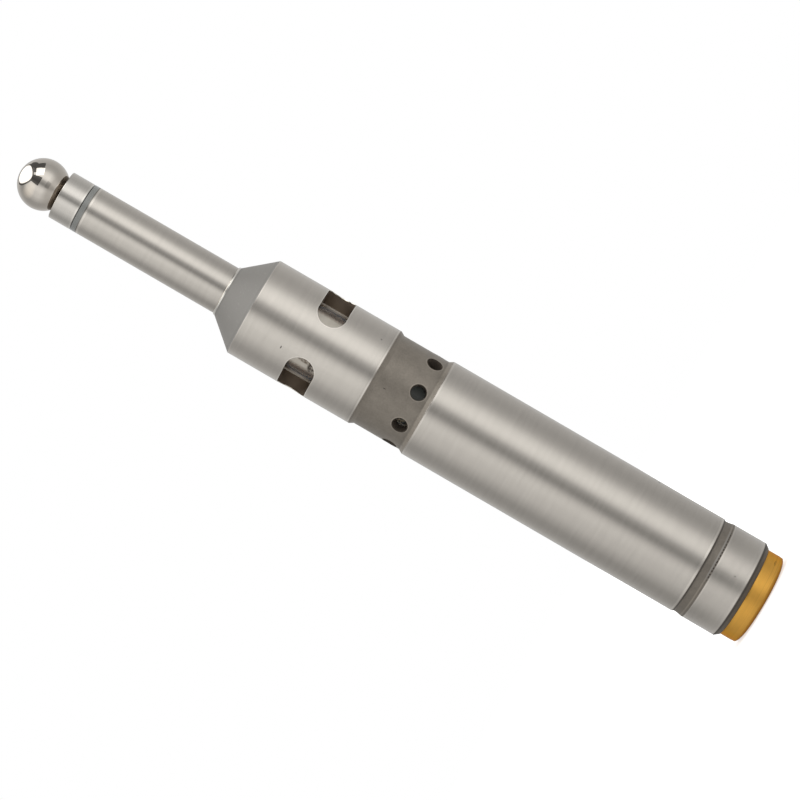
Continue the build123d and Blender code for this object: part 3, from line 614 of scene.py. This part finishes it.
def frosted_acrylic(finishes):
    """Extruded acrylic, clear and brownish before each light, frosted to a milky cream beside it.

    The frost grows with the turn from the nearest window's middle. It is silvered a little, to throw
    the light outward. At one window's end a brown band is painted shadow of that window's end wall,
    and a drop of resin has run onto the tube.
    """
    material, tree, shader = new_material("frosted_acrylic", ior=1.49)
    at = place(tree)
    aside = add(tree, "Math", (at.turn, math.radians(90)), operation="SUBTRACT")
    aside = add(tree, "Math", (aside, math.radians(60), -math.radians(60)), operation="WRAP")
    aside = add(tree, "Math", (aside,), operation="ABSOLUTE")
    frost = add(tree, "MapRange", (aside, math.radians(6), math.radians(16), 0.0, 1.0))
    cloud = add(tree, "TexNoise", {"Vector": at.whole, "Scale": 1 / (2 * MM), "Detail": 3.0})
    milky = add(tree, "Mix", {0: frost, 6: "#9A8674", 7: finishes.tube_cream}, 2, data_type="RGBA")
    milky = shade(tree, milky, add(tree, "MapRange", (cloud, 0.3, 0.7, 0.9, 1.02)))
    resin = patchy_mark(tree, at, (-130, 95.7 * MM, 1.5 * MM, 0.8 * MM), 0.7 * MM, (0.4, 0.55, 0.3, 0.9))
    # A brown band at one window's end is painted shadow of the window's end wall
    end_wall_shadow = patchy_mark(tree, at, (-123.5, 96.6 * MM, 0.75 * MM, 2.4 * MM), 0.5 * MM, (0.4, 0.6, 0.35, 0.9))
    milky = add(tree, "Mix", {0: end_wall_shadow, 6: milky, 7: "#6E5C48"}, 2, data_type="RGBA")
    tint = add(tree, "Mix", {0: resin, 6: milky, 7: "#3E3022"}, 2, data_type="RGBA")
    tree.links.new(tint, shader.inputs["Base Color"])
    tree.links.new(add(tree, "MapRange", (frost, 0.0, 1.0, 1.0, 0.1)), shader.inputs["Transmission Weight"])
    tree.links.new(add(tree, "MapRange", (frost, 0.0, 1.0, 0.06, 0.25)), shader.inputs["Roughness"])
    tree.links.new(add(tree, "MapRange", (frost, 0.0, 1.0, 0.0, 0.5)), shader.inputs["Metallic"])
    return material


def sounder_plastic():
    """Moulded thermoplastic of the sounder: dark grey, with crumbs of pale resin where it was potted."""
    material, tree, shader = new_material("potted_sounder_plastic", metallic=0.0)
    at = place(tree)
    lumps = add(tree, "TexNoise", {"Vector": at.whole, "Scale": 1 / (1.2 * MM), "Detail": 3.0})
    crumbs = add(tree, "TexNoise", {"Vector": at.whole, "Scale": 1 / (0.55 * MM), "Detail": 3.0})
    potted = by_stops(tree, at.turn, -math.pi, math.pi, (
        (-math.pi, 0.0), (-3.0, 0.0), (-2.9, 1.0), (-2.4, 1.0), (-2.25, 0.0)))
    crumbs = add(tree, "MapRange", (crumbs, 0.42, 0.5, 0.0, 1.0))
    resin = add(tree, "Math", (crumbs, potted), operation="MULTIPLY")
    tint = shade(tree, "#858A85", add(tree, "MapRange", (lumps, 0.3, 0.7, 0.85, 1.05)))
    tint = add(tree, "Mix", {0: resin, 6: tint, 7: "#FFEFCF"}, 2, data_type="RGBA")
    tree.links.new(tint, shader.inputs["Base Color"])
    tree.links.new(add(tree, "MapRange", (lumps, 0.3, 0.7, 0.3, 0.4)), shader.inputs["Roughness"])
    return material


def turned_finish(name, code, metallic, roughness, spacing):
    """A turned piece: its colour and gloss vary in lines round the axis."""
    material, tree, shader = new_material(name, metallic=metallic)
    at = place(tree)
    lines = lathe_lines(tree, at, spacing)
    tint = shade(tree, code, add(tree, "MapRange", (lines, 0.3, 0.7, 0.92, 1.05)))
    gloss = add(tree, "MapRange", (lines, 0.3, 0.7, roughness * 0.85, roughness * 1.15))
    tree.links.new(tint, shader.inputs["Base Color"])
    tree.links.new(gloss, shader.inputs["Roughness"])
    bumps = add(tree, "Bump", {"Height": lines, "Distance": 0.01 * MM, "Strength": 0.4})
    tree.links.new(bumps, shader.inputs["Normal"])
    return material


def turned_phenolic(finishes, dark_line_foot):
    """Phenolic plastic of the bush, turned: grey-green with a soft gloss, and a dark line at its top edge."""
    material, tree, shader = new_material("turned_phenolic", ior=1.55, coat_weight=1.0, coat_roughness=0.2)
    at = place(tree)
    lines = lathe_lines(tree, at, 0.3 * MM)
    tint = shade(tree, finishes.bush_grey, add(tree, "MapRange", (lines, 0.3, 0.7, 0.97, 1.03)))
    dark_line = add(tree, "Math", (at.z, dark_line_foot), operation="GREATER_THAN")
    tint = add(tree, "Mix", {0: dark_line, 6: tint, 7: "#34322D"}, 2, data_type="RGBA")
    tree.links.new(tint, shader.inputs["Base Color"])
    tree.links.new(add(tree, "MapRange", (lines, 0.3, 0.7, 0.18, 0.25)), shader.inputs["Roughness"])
    bumps = add(tree, "Bump", {"Height": lines, "Distance": 0.004 * MM, "Strength": 0.3})
    tree.links.new(bumps, shader.inputs["Normal"])
    return material


# Operators, one for each piece or group of like pieces

class EDGEFINDER_OT_body(Operator):
    """Finish the body and deburr its windows and sound holes"""

    bl_idname = "edgefinder.body"
    bl_label = "Ground body"

    def execute(self, context):
        sizes, finishes = context.scene.edge_finder_sizes, context.scene.edge_finder_finishes
        finish_node("body", ground_tool_steel(sizes, finishes))
        bright = ground_ring_steel(finishes)
        # The drilled edge: a dull dark line of painted shade round each hole
        rubbed = plain_finish("blackened_steel", "#5A544C", 1.0, 0.5, 0.5 * MM)
        mill_radius = sizes.window_width / 2
        # A window's rim: two half circles of the mill, and two straight runs round the head between them
        reach = sizes.window_arc / 2 - math.asin(mill_radius / sizes.shank_radius)
        swing = np.linspace(-np.pi / 2, np.pi / 2, 33)[:-1]
        across = mill_radius * np.cos(swing)
        end_angle = np.arcsin(across / sizes.shank_radius)
        end_height = mill_radius * np.sin(swing)
        run = np.linspace(reach, -reach, 33)[:-1]
        turn = np.concatenate((reach + end_angle, run, -reach - end_angle, -run))
        rise = np.concatenate((end_height, mill_radius + 0 * run, -end_height, -mill_radius + 0 * run))
        for index, letter in enumerate("abc"):
            middle = math.radians(90 + 120 * index)
            rim = cylinder_point(
                middle + turn, sizes.shank_radius - 1.05 * sizes.window_bead, sizes.window_height + rise)
            mesh = grid_mesh(
                f"window_edge_{letter}", tube(rim, sizes.window_bead, 8, closed=True), wrap_rows=True)
            piece(f"window_edge_{letter}", mesh, bright, "housing")
        swing = np.linspace(0, 2 * np.pi, 49)[:-1]
        hole_radius = sizes.sound_hole_diameter / 2
        rim_radius = hole_radius + sizes.hole_bead
        off = np.arcsin(rim_radius * np.cos(swing) / sizes.relief_radius)
        for index in range(8):
            middle = sizes.sound_hole_start + math.radians(45 * index)
            rim = cylinder_point(
                middle + off, sizes.relief_radius - 0.4 * sizes.hole_bead,
                sizes.sound_hole_height + rim_radius * np.sin(swing))
            mesh = grid_mesh(
                f"sound_hole_edge_{index + 1}", tube(rim, sizes.hole_bead, 8, closed=True), wrap_rows=True)
            piece(f"sound_hole_edge_{index + 1}", mesh, rubbed, "housing")
        # Where the grinding wheel met the cone it left a small shoulder round the stem,
        # bright with the ring steel's painted highlight
        stem, top, reach = sizes.stem_radius, sizes.cone_top, sizes.stem_shoulder
        slope = (sizes.shank_radius - stem) / (top - sizes.cone_foot)
        shoulder, inner = stem + slope * reach, stem - 0.1 * MM
        profile = np.array((
            (inner, top - reach), (shoulder, top - reach), (shoulder, top - 0.1 * reach),
            (shoulder - 0.2 * reach, top + 0.1 * reach), (stem + 0.02 * MM, top + 0.4 * reach),
            (inner, top + 0.4 * reach)))
        mesh = grid_mesh("stem_shoulder", lathe(profile, TURNED_COLUMNS), wrap_rows=True)
        piece("stem_shoulder", mesh, bright, "housing")
        return {"FINISHED"}


class EDGEFINDER_OT_nose(Operator):
    """Make the nose ring and its insulating bush, with a dark line between them"""

    bl_idname = "edgefinder.nose"
    bl_label = "Nose ring and bush"

    def execute(self, context):
        sizes, finishes = context.scene.edge_finder_sizes, context.scene.edge_finder_finishes
        stem, edge, foot = sizes.stem_radius, sizes.ring_edge, sizes.bush_height
        low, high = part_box("nose_ring")
        ball_low, ball_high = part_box("ball")
        spigot, bore = 3.05 * MM, 2.95 * MM
        seat = (ball_high.x - ball_low.x) / 2 + 0.02 * MM
        centre = ball_high.z - (ball_high.x - ball_low.x) / 2
        mouth = math.sqrt(seat ** 2 - (centre - high.z) ** 2)
        # The seat is part of the ball's sphere, from the mouth down to the bore
        from_below = [math.degrees(math.acos(r / seat)) for r in (mouth, bore)]
        profile = np.concatenate((
            [(bore, low.z), (spigot, low.z), (spigot, foot)],
            [(stem - 0.06 * MM, foot), (stem, foot + 0.06 * MM)],
            np.linspace((stem, foot + 0.3 * MM), (stem, high.z - 1.3 * edge), 6),
            arc((stem - edge, high.z - edge), edge, 0.0, 90.0, 7),
            arc((0.0, centre), seat, -from_below[0], -from_below[1], 5)))
        mesh = grid_mesh("polished_nose_ring", lathe(profile, TURNED_COLUMNS), wrap_rows=True)
        piece(
            "polished_nose_ring", mesh, ground_ring_steel(finishes), "housing",
            ("nose_ring",))

        low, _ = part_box("insulating_bush")
        bore, spigot, shoulder, line = 3.1 * MM, 3.65 * MM, 147.4 * MM, 0.17 * MM
        profile = np.array((
            (bore, low.z), (spigot, low.z), (spigot, shoulder), (stem, shoulder), (stem, shoulder + 0.4 * MM),
            (stem, foot - line), (stem - 0.07 * MM, foot - line), (stem - 0.07 * MM, foot), (bore, foot)))
        mesh = grid_mesh("turned_bush", lathe(profile, TURNED_COLUMNS), wrap_rows=True)
        plastic = turned_phenolic(finishes, foot - 1.05 * line)
        piece("turned_bush", mesh, plastic, "housing", ("insulating_bush",))
        return {"FINISHED"}


class EDGEFINDER_OT_ball(Operator):
    """Make the mirror ball, with the blind hole for its stud"""

    bl_idname = "edgefinder.ball"
    bl_label = "Ball"

    def execute(self, context):
        low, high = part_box("ball")
        _, stud_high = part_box("eye_stud")
        radius = (high.x - low.x) / 2
        centre = high.z - radius
        hole = 1.25 * MM
        start = math.degrees(math.acos(hole / radius))
        rounds = arc((0.0, centre), radius, -start, 90.0, 120)
        profile = np.concatenate(([(0.0, stud_high.z + 0.05 * MM), (hole, stud_high.z + 0.05 * MM)], rounds))
        profile[-1, 0] = 0.0
        mesh = grid_mesh("mirror_ball", lathe(profile, 160))
        piece("mirror_ball", mesh, lapped_ball_steel(context.scene.edge_finder_finishes),
              "ball", ("ball",))
        # Turned and drilled steel: dull grey
        finish_node("eye_stud", turned_finish("turned_stud_steel", "#A9ABAD", 1.0, 0.35, 0.2 * MM))
        return {"FINISHED"}


class EDGEFINDER_OT_battery_cap(Operator):
    """Make the gold cap with its thread and coin slot"""

    bl_idname = "edgefinder.battery_cap"
    bl_label = "Battery cap"

    def execute(self, context):
        sizes = context.scene.edge_finder_sizes
        low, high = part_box("battery_cap")
        outer = (high.x - low.x) / 2
        row_count, columns = 150, 144
        crest, well, floor, crown = 8.05 * MM, 6.25 * MM, 2.2 * MM, sizes.cap_crown
        shoulder, end, edge = 4.0 * MM, high.z, 0.12 * MM
        # The rows between the shoulder and the end carry the thread
        thread_rows = np.linspace(shoulder + 0.3 * MM, end - 0.1 * MM, row_count)
        profile = np.concatenate((
            [(0.0, 0.0), (3 * MM, 0.0), (5 * MM, 0.0)],
            arc((0.0, 0.0), 1.0, -90.0, 0.0, 20) * (crown, 1.0 * MM) + (outer - crown, 1.0 * MM),
            [(outer, 1.8 * MM), (outer, 2.6 * MM), (outer, 3.4 * MM)],
            arc((outer - edge, shoulder - edge), edge, 0.0, 90.0, 5),
            [(crest - sizes.thread_depth, shoulder)],
            np.stack((np.full(row_count, crest), thread_rows), -1),
            [(crest - sizes.thread_depth, end), (well + 0.2 * MM, end), (well, end - 0.2 * MM)],
            [(well, 7 * MM), (well, 4.5 * MM), (well, floor), (3 * MM, floor), (0.0, floor)],
        ))
        points = lathe(profile, columns)
        # Thread: a 60 degree groove below the crest, r = crest - depth * groove((z - pitch a / 2 pi) / pitch)
        turn = np.arange(columns) / columns
        first = int(np.argmax(np.isclose(profile[:, 1], thread_rows[0]) & np.isclose(profile[:, 0], crest)))
        phase = (thread_rows[:, None] / sizes.thread_pitch - turn[None]) % 1.0
        groove = np.clip(1.15 - np.abs(phase - 0.5) * 2.6, 0.0, 1.0)
        lead = np.clip((end - 0.1 * MM - thread_rows) / (0.6 * MM), 0.0, 1.0)[:, None]
        radius = crest - sizes.thread_depth * np.maximum(groove, 1 - lead)
        rows = slice(first, first + row_count)
        direction = np.stack((np.cos(2 * np.pi * turn), np.sin(2 * np.pi * turn)), -1)
        points[rows, :, :2] = radius[..., None] * direction[None]
        mesh = grid_mesh("gold_cap", points)
        cap = piece("gold_cap", mesh, gold_anodised_aluminium(context.scene.edge_finder_finishes),
                    "cap", ("battery_cap",))
        cut_slot(cap, sizes.cap_slot_width, sizes.cap_slot_depth, outer)
        return {"FINISHED"}


def cut_slot(cap, width, depth, reach):
    """Cuts a straight coin slot along X across the cap's end face."""
    work = bmesh.new()
    bmesh.ops.create_cube(work, size=1.0)
    bmesh.ops.scale(work, vec=(3 * reach, width, 2 * depth), verts=work.verts)
    cutter_mesh = bpy.data.meshes.new("slot_cutter")
    work.to_mesh(cutter_mesh)
    work.free()
    cutter = bpy.data.objects.new("slot_cutter", cutter_mesh)
    bpy.context.scene.collection.objects.link(cutter)
    modifier = cap.modifiers.new("slot", "BOOLEAN")
    modifier.operation, modifier.solver, modifier.object = "DIFFERENCE", "EXACT", cutter
    evaluated = cap.evaluated_get(bpy.context.evaluated_depsgraph_get())
    cut = bpy.data.meshes.new_from_object(evaluated)
    cap.modifiers.clear()
    cap.data = cut
    cut.shade_smooth()
    cut.set_sharp_from_angle(angle=math.radians(35.0))
    bpy.data.objects.remove(cutter)


class EDGEFINDER_OT_springs(Operator):
    """Make the tension spring, the link ring and the contact spring of round wire"""

    bl_idname = "edgefinder.springs"
    bl_label = "Springs and link"

    def execute(self, context):
        sizes = context.scene.edge_finder_sizes
        # Drawn spring steel: smooth and grey, with streaks along the wire too fine to show
        wire_steel = plain_finish("drawn_spring_steel", "#B4B6B8", 1.0, 0.3, 0.5 * MM)
        low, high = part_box("tension_spring")
        radius, wire = sizes.spring_radius, sizes.spring_wire / 2
        foot, top = low.z + radius + wire, high.z - radius - wire
        turn = np.linspace(0.0, 2 * np.pi * sizes.spring_turns, sizes.spring_turns * 32)
        coil = cylinder_point(turn, radius, foot + (top - foot) * turn / turn[-1])
        half = np.linspace(0.0, np.pi, 24)
        hook = np.stack((radius * np.cos(half), 0 * half, radius * np.sin(half)), -1)
        path = np.concatenate((
            (hook * (1, 1, -1) + (0, 0, foot))[::-1], coil[2:-2], hook + (0, 0, top)))
        # The corner between coil and hook is eased over a few points
        eased = (path[:-4] + path[1:-3] + path[2:-2] + path[3:-1] + path[4:]) / 5
        path = np.concatenate((path[:2], eased, path[-2:]))
        mesh = grid_mesh("round_tension_spring", tube(path, wire, 10))
        mesh.shade_smooth()
        mesh.materials.append(wire_steel)
        spring = bpy.data.objects.new("round_tension_spring", mesh)
        context.scene.collection.objects.link(spring)
        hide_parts("tension_spring")
        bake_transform(spring)

        low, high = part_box("link_ring")
        middle, link_radius = (low.z + high.z) / 2, (high.z - low.z) / 2 - sizes.link_wire / 2
        # The link is an oval, wide enough for the hook and the eye to slide along it as the ball tips
        swing = np.linspace(0.0, 2 * np.pi, 49)[:-1]
        ring = np.stack((
            0 * swing, sizes.link_reach * np.cos(swing), middle + link_radius * np.sin(swing)), -1)
        mesh = grid_mesh("round_link", tube(ring, sizes.link_wire / 2, 12, closed=True), wrap_rows=True)
        piece("round_link", mesh, wire_steel, "link", ("link_ring",))

        low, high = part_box("cap_contact_spring")
        wire = sizes.contact_wire / 2
        flat, rise = math.radians(300), 2 * np.pi * sizes.contact_turns
        turn = np.linspace(-flat, rise + flat, 40 * (sizes.contact_turns + 2))
        stops = (-flat, 0.0, rise, rise + flat)
        radius = np.interp(turn, stops, (5.0 * MM, 5.0 * MM, 2.5 * MM, 2.5 * MM))
        height = np.interp(turn, stops, (low.z + wire, low.z + wire, high.z - wire, high.z - wire))
        coil = np.stack((radius * np.cos(turn), radius * np.sin(turn), height), -1)
        mesh = grid_mesh("round_contact_spring", tube(coil, wire, 12, reference=(0.0, 0.0, 1.0)))
        piece("round_contact_spring", mesh, wire_steel, "cap_spring", ("cap_contact_spring",))
        return {"FINISHED"}


class EDGEFINDER_OT_lights(Operator):
    """Finish the light tube, the lights and what stands on the circuit board"""

    bl_idname = "edgefinder.lights"
    bl_label = "Lights and circuit"

    def execute(self, context):
        finishes = context.scene.edge_finder_finishes
        finish_node("light_tube", frosted_acrylic(finishes))
        # Cast epoxy lens: clear with a faint warm tint
        lens = plain_finish(
            "tinted_epoxy", "#A08068", 0.0, 0.2, 2 * MM, 0.06, transmission_weight=0.8, ior=1.54)
        for node in ("led_a", "led_b", "led_c"):
            finish_node(node, lens)
        # Glass-fibre laminate: olive green, with the weave showing as fine lumps
        laminate = plain_finish("glass_fibre_laminate", "#5D6B48", 0.0, 0.45, 0.5 * MM, 0.16)
        finish_node("circuit_board", laminate)
        finish_node("contact_disc", laminate)
        # Moulded thermoplastic: near black and slightly glossy
        moulded = plain_finish("moulded_black_plastic", "#2F3532", 0.0, 0.32, 1.2 * MM, 0.12)
        for node in ("transistor", "anchor_plug"):
            finish_node(node, moulded)
        finish_node("buzzer", sounder_plastic())
        # Lacquered resistor bodies: beige enamel
        finish_node("resistors", plain_finish("resistor_enamel", "#C9A878", 0.0, 0.4, 0.8 * MM))
        # Extruded vinyl on stranded wire
        finish_node("battery_lead", plain_finish("red_vinyl", "#A8322A", 0.0, 0.4, 0.6 * MM))
        finish_node("probe_lead", plain_finish("black_vinyl", "#2A2A2A", 0.0, 0.4, 0.6 * MM))
        return {"FINISHED"}


class EDGEFINDER_OT_batteries(Operator):
    """Finish the cells, their sleeve and the contacts"""

    bl_idname = "edgefinder.batteries"
    bl_label = "Cells and contacts"

    def execute(self, context):
        # Nickel-plated drawn steel cans
        can = plain_finish("nickel_plated_can", "#A6A6A4", 1.0, 0.28, 3 * MM)
        finish_node("rear_cell", can)
        finish_node("front_cell", can)
        # Extruded insulating tubes: off-white and dull
        tubing = plain_finish("extruded_insulating_tube", "#E4DDCC", 0.0, 0.5, 2 * MM)
        finish_node("battery_sleeve", tubing)
        finish_node("stem_liner", tubing)
        # Turned brass: warm, with turning rings
        brass = turned_finish("turned_brass", "#D9B868", 1.0, 0.28, 0.2 * MM)
        finish_node("contact_button", brass)
        finish_node("spring_anchor", brass)
        return {"FINISHED"}


# The room as the steel sees it, white walls with dark gaps: turn from the camera to +X in degrees, and level
ROOM_RING = (
    (-180, 0.46), (-160, 0.56), (-141, 0.46), (-130, 0.40), (-112, 0.34), (-98, 0.35), (-86, 0.44),
    (-74, 0.53), (-64, 0.62), (-54, 0.65), (-44, 0.69), (-35, 0.75), (-26, 0.77), (-17, 0.67),
    (-9, 0.44), (-3, 0.28), (3, 0.28), (9, 0.38), (14, 0.44), (19, 0.68), (26, 0.88), (35, 0.95),
    (44, 0.90), (54, 0.80), (64, 0.60), (74, 0.47), (86, 0.41), (98, 0.39), (125, 0.46), (141, 0.50),
    (160, 0.58), (180, 0.46),
)
# Dark parts of the room, as (from turn, to turn, from height, to height) in degrees, and how dark
ROOM_GAPS = (
    (-18, 24, 13, 60, 0.85), (62, 108, 24, 42, 0.85), (40, 146, 42, 60, 0.85), (-9, 24, -33, -14, 0.3))
# The overhead lamp is an ellipse, whose middle and half widths are given for a plane at a height of 1
OVERHEAD = ((-0.02, 0.48), (0.24, 0.88))


class EDGEFINDER_OT_stage(Operator):
    """Set up the floor, the room, the lamps and the camera"""

    bl_idname = "edgefinder.stage"
    bl_label = "Stage"

    def execute(self, context):
        scene, studio = context.scene, context.scene.edge_finder_studio
        scene.view_settings.view_transform = "Standard"
        self.camera(scene, studio)
        self.room(scene, studio)
        self.floor(scene, studio)
        # A wide soft lamp overhead. Its height over the ball and the ball's own height are in metres.
        rise, ball = 0.923, 0.157
        (x, half_x), (y, half_y) = OVERHEAD
        above = Vector((x * rise, y * rise, ball + rise))
        self.lamp(
            "lamp_overhead", studio, "ELLIPSE", (2 * half_x * rise, 2 * half_y * rise), above,
            above - Vector((0, 0, 1)))
        # A smaller one above the camera's right shoulder, with its size and its distance in metres
        side_size, distance = (0.70, 0.60), 1.1
        turn, height, roll = math.radians(50), math.radians(35), math.radians(14)
        side = Vector((
            math.sin(turn) * math.cos(height), -math.cos(turn) * math.cos(height), math.sin(height)))
        target = Vector((0.0, 0.0, 0.12))
        self.lamp("lamp_side", studio, "RECTANGLE", side_size, target + distance * side, target, roll)
        return {"FINISHED"}

    def camera(self, scene, studio):
        data = bpy.data.cameras.new("camera")
        data.lens, data.sensor_width = studio.camera_lens, 36.0
        data.clip_start, data.clip_end = 0.05, 20.0
        camera = bpy.data.objects.new("camera", data)
        scene.collection.objects.link(camera)
        lean = studio.tool_lean
        right = Vector((math.cos(lean), 0.0, -math.sin(lean)))
        up = Vector((math.sin(lean), 0.0, math.cos(lean)))
        back = Vector((0.0, -1.0, 0.0))
        camera.matrix_world = (
            Matrix.Translation((studio.camera_side, -studio.camera_distance, studio.camera_height))
            @ Matrix((right, up, back)).transposed().to_4x4())
        bpy.context.scene.camera = camera

    def room(self, scene, studio):
        world = bpy.data.worlds.new("room")
        scene.world = world
        world.use_nodes = True
        tree = world.node_tree
        direction = add(tree, "TexCoord", output="Generated")
        x, y, z = add(tree, "SeparateXYZ", (direction,)).node.outputs
        behind = add(tree, "Math", (y, -1.0), operation="MULTIPLY")
        turn = add(tree, "Math", (x, behind), operation="ARCTAN2")
        degrees = add(tree, "Math", (turn, 180 / math.pi), operation="MULTIPLY")
        ring = by_stops(tree, degrees, -180, 180, ROOM_RING)
        height = add(tree, "Math", (z,), operation="ARCSINE")
        # Low down the room is evenly grey, and to the left a warm wall catches the lamp
        low = add(tree, "MapRange", (height, math.radians(-35), math.radians(-12), 0.7, 0.0))
        ring = add(tree, "Mix", {0: low, 6: ring, 7: (0.4, 0.39, 0.38)}, 2, data_type="RGBA")
        aside = add(tree, "Math", (turn, math.radians(-65)), operation="SUBTRACT")
        aside = add(tree, "Math", (aside, math.radians(55)), operation="DIVIDE")
        upward = add(tree, "Math", (height, math.radians(34)), operation="SUBTRACT")
        upward = add(tree, "Math", (upward, math.radians(24)), operation="DIVIDE")
        away = sum_of_squares(tree, aside, upward)
        near = add(tree, "MapRange", (away, 0.0, 1.0, 1.0, 0.0))
        warm = add(tree, "Mix", {0: near, 6: ring, 7: (0.24, 0.215, 0.18)}, 2,
                   data_type="RGBA", blend_type="ADD")
        # Between and round the lamps the room is dark, as the ball shows, and so is the camera's stand
        gap = 0.0
        for *limits, darkness in ROOM_GAPS:
            from_turn, to_turn, from_height, to_height = (math.radians(limit) for limit in limits)
            across, upright = band(tree, turn, from_turn, to_turn), band(tree, height, from_height, to_height)
            there = add(tree, "Math", (across, upright), operation="MULTIPLY")
            there = add(tree, "Math", (there, darkness), operation="MULTIPLY")
            gap = add(tree, "Math", (gap, there), operation="MAXIMUM")
        # The overhead lamp hangs in a dark frame, from 0.8 to 1.55 of its half widths squared
        out = []
        for part, (middle, half) in zip((x, y), OVERHEAD):
            part = add(tree, "Math", (part, z), operation="DIVIDE")
            part = add(tree, "Math", (part, middle), operation="SUBTRACT")
            out.append(add(tree, "Math", (part, half), operation="DIVIDE"))
        upper = add(tree, "Math", (z, 0.7), operation="GREATER_THAN")
        surround = band(tree, sum_of_squares(tree, *out), 0.8, 1.55)
        surround = add(tree, "Math", (surround, upper), operation="MULTIPLY")
        surround = add(tree, "Math", (surround, 0.8), operation="MULTIPLY")
        gap = add(tree, "Math", (gap, surround), operation="MAXIMUM")
        seen = add(tree, "Mix", {0: gap, 6: warm, 7: (0.03, 0.03, 0.03)}, 2, data_type="RGBA")
        path = add(tree, "LightPath").node.outputs
        light = add(tree, "Mix", {
            0: path["Is Glossy Ray"], 6: (studio.room_level,) * 3, 7: seen}, 2, data_type="RGBA")
        plain = add(tree, "Math", (path["Is Camera Ray"], path["Is Transmission Ray"]), operation="MAXIMUM")
        shown = add(tree, "Mix", {0: plain, 6: light, 7: (1.0, 1.0, 1.0)}, 2, data_type="RGBA")
        background = tree.nodes["Background"]
        tree.links.new(shown, background.inputs[0])

    def floor(self, scene, studio):
        rim = studio.floor_radius
        radii = np.linspace(0.0, rim, 24)
        points = lathe(np.stack((radii, 0 * radii), -1), 96)
        mesh = grid_mesh("floor", points)
        # The disc is flat, so its faces are turned up by hand
        if mesh.polygons[0].normal.z < 0:
            mesh.flip_normals()
        floor = bpy.data.objects.new("floor", mesh)
        scene.collection.objects.link(floor)
        material = bpy.data.materials.new("white_floor")
        material.use_nodes = True
        tree = material.node_tree
        tree.nodes.clear()
        radius = place(tree).radius
        near = add(tree, "MapRange", (radius, 0.03, 0.28, 1.0, 0.0))
        fade = add(tree, "MapRange", (radius, 0.5 * rim, 0.95 * rim, 0.0, 1.0))
        path = add(tree, "LightPath").node.outputs
        seen = add(tree, "Math", (path["Is Camera Ray"], path["Is Transmission Ray"]), operation="MAXIMUM")
        dull = add(tree, "BsdfDiffuse", {0: (0.8, 0.8, 0.8)})
        # White for the camera and through glass: light is added to the dull floor, less of it near the tool
        level = add(tree, "MapRange", (near, 0.0, 1.0, 1.0, 0.6))
        glow = add(tree, "Math", (seen, level), operation="MULTIPLY")
        white = add(tree, "Emission", {1: glow})
        lit = add(tree, "AddShader", {0: dull, 1: white})
        clear = add(tree, "BsdfTransparent")
        # Metal sees the room go on below the floor, and only the floor's shade near the tool
        opening = add(tree, "MapRange", (near, 0.6, 1.0, 1.0, 0.55))
        opening = add(tree, "Math", (path["Is Glossy Ray"], opening), operation="MULTIPLY")
        open_floor = add(tree, "Math", (fade, opening), operation="MAXIMUM")
        mixed = add(tree, "MixShader", {0: open_floor, 1: lit, 2: clear})
        add(tree, "OutputMaterial", {0: mixed})
        mesh.materials.append(material)

    def lamp(self, name, studio, shape, size, place_at, aim, roll=0.0):
        data = bpy.data.lights.new(name, "AREA")
        data.shape, data.size, data.size_y = shape, size[0], size[1]
        area = size[0] * size[1] * (math.pi / 4 if shape == "ELLIPSE" else 1.0)
        data.energy = studio.lamp_radiance * math.pi * area
        lamp = bpy.data.objects.new(name, data)
        bpy.context.scene.collection.objects.link(lamp)
        lamp.location = place_at
        facing = (aim - place_at).to_track_quat("-Z", "Y").to_matrix()
        lamp.rotation_euler = (facing @ Matrix.Rotation(roll, 3, "Z")).to_euler()
        lamp.visible_camera = False


class EDGEFINDER_PT_panel(Panel):
    """Lists the steps that build the tool's looks"""

    bl_idname = "EDGEFINDER_PT_panel"
    bl_label = "Edge Finder"
    bl_space_type = "VIEW_3D"
    bl_region_type = "UI"
    bl_category = "Edge Finder"

    def draw(self, context):
        for step in STEPS:
            self.layout.operator(step.bl_idname)


STEPS = (
    EDGEFINDER_OT_body,
    EDGEFINDER_OT_nose,
    EDGEFINDER_OT_ball,
    EDGEFINDER_OT_battery_cap,
    EDGEFINDER_OT_springs,
    EDGEFINDER_OT_lights,
    EDGEFINDER_OT_batteries,
    EDGEFINDER_OT_stage,
)
GROUPS = {
    "edge_finder_sizes": EdgeFinderSizes,
    "edge_finder_finishes": EdgeFinderFinishes,
    "edge_finder_studio": EdgeFinderStudio,
}


def register():
    for cls in (*GROUPS.values(), *STEPS, EDGEFINDER_PT_panel):
        bpy.utils.register_class(cls)
    for name, group in GROUPS.items():
        setattr(bpy.types.Scene, name, PointerProperty(type=group))


def unregister():
    for name in GROUPS:
        delattr(bpy.types.Scene, name)
    for cls in reversed((*GROUPS.values(), *STEPS, EDGEFINDER_PT_panel)):
        bpy.utils.unregister_class(cls)


def main():
    """Registers the add-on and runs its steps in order."""
    register()
    for step in STEPS:
        group, name = step.bl_idname.split(".")
        getattr(getattr(bpy.ops, group), name)()


if __name__ == "__main__":
    main()
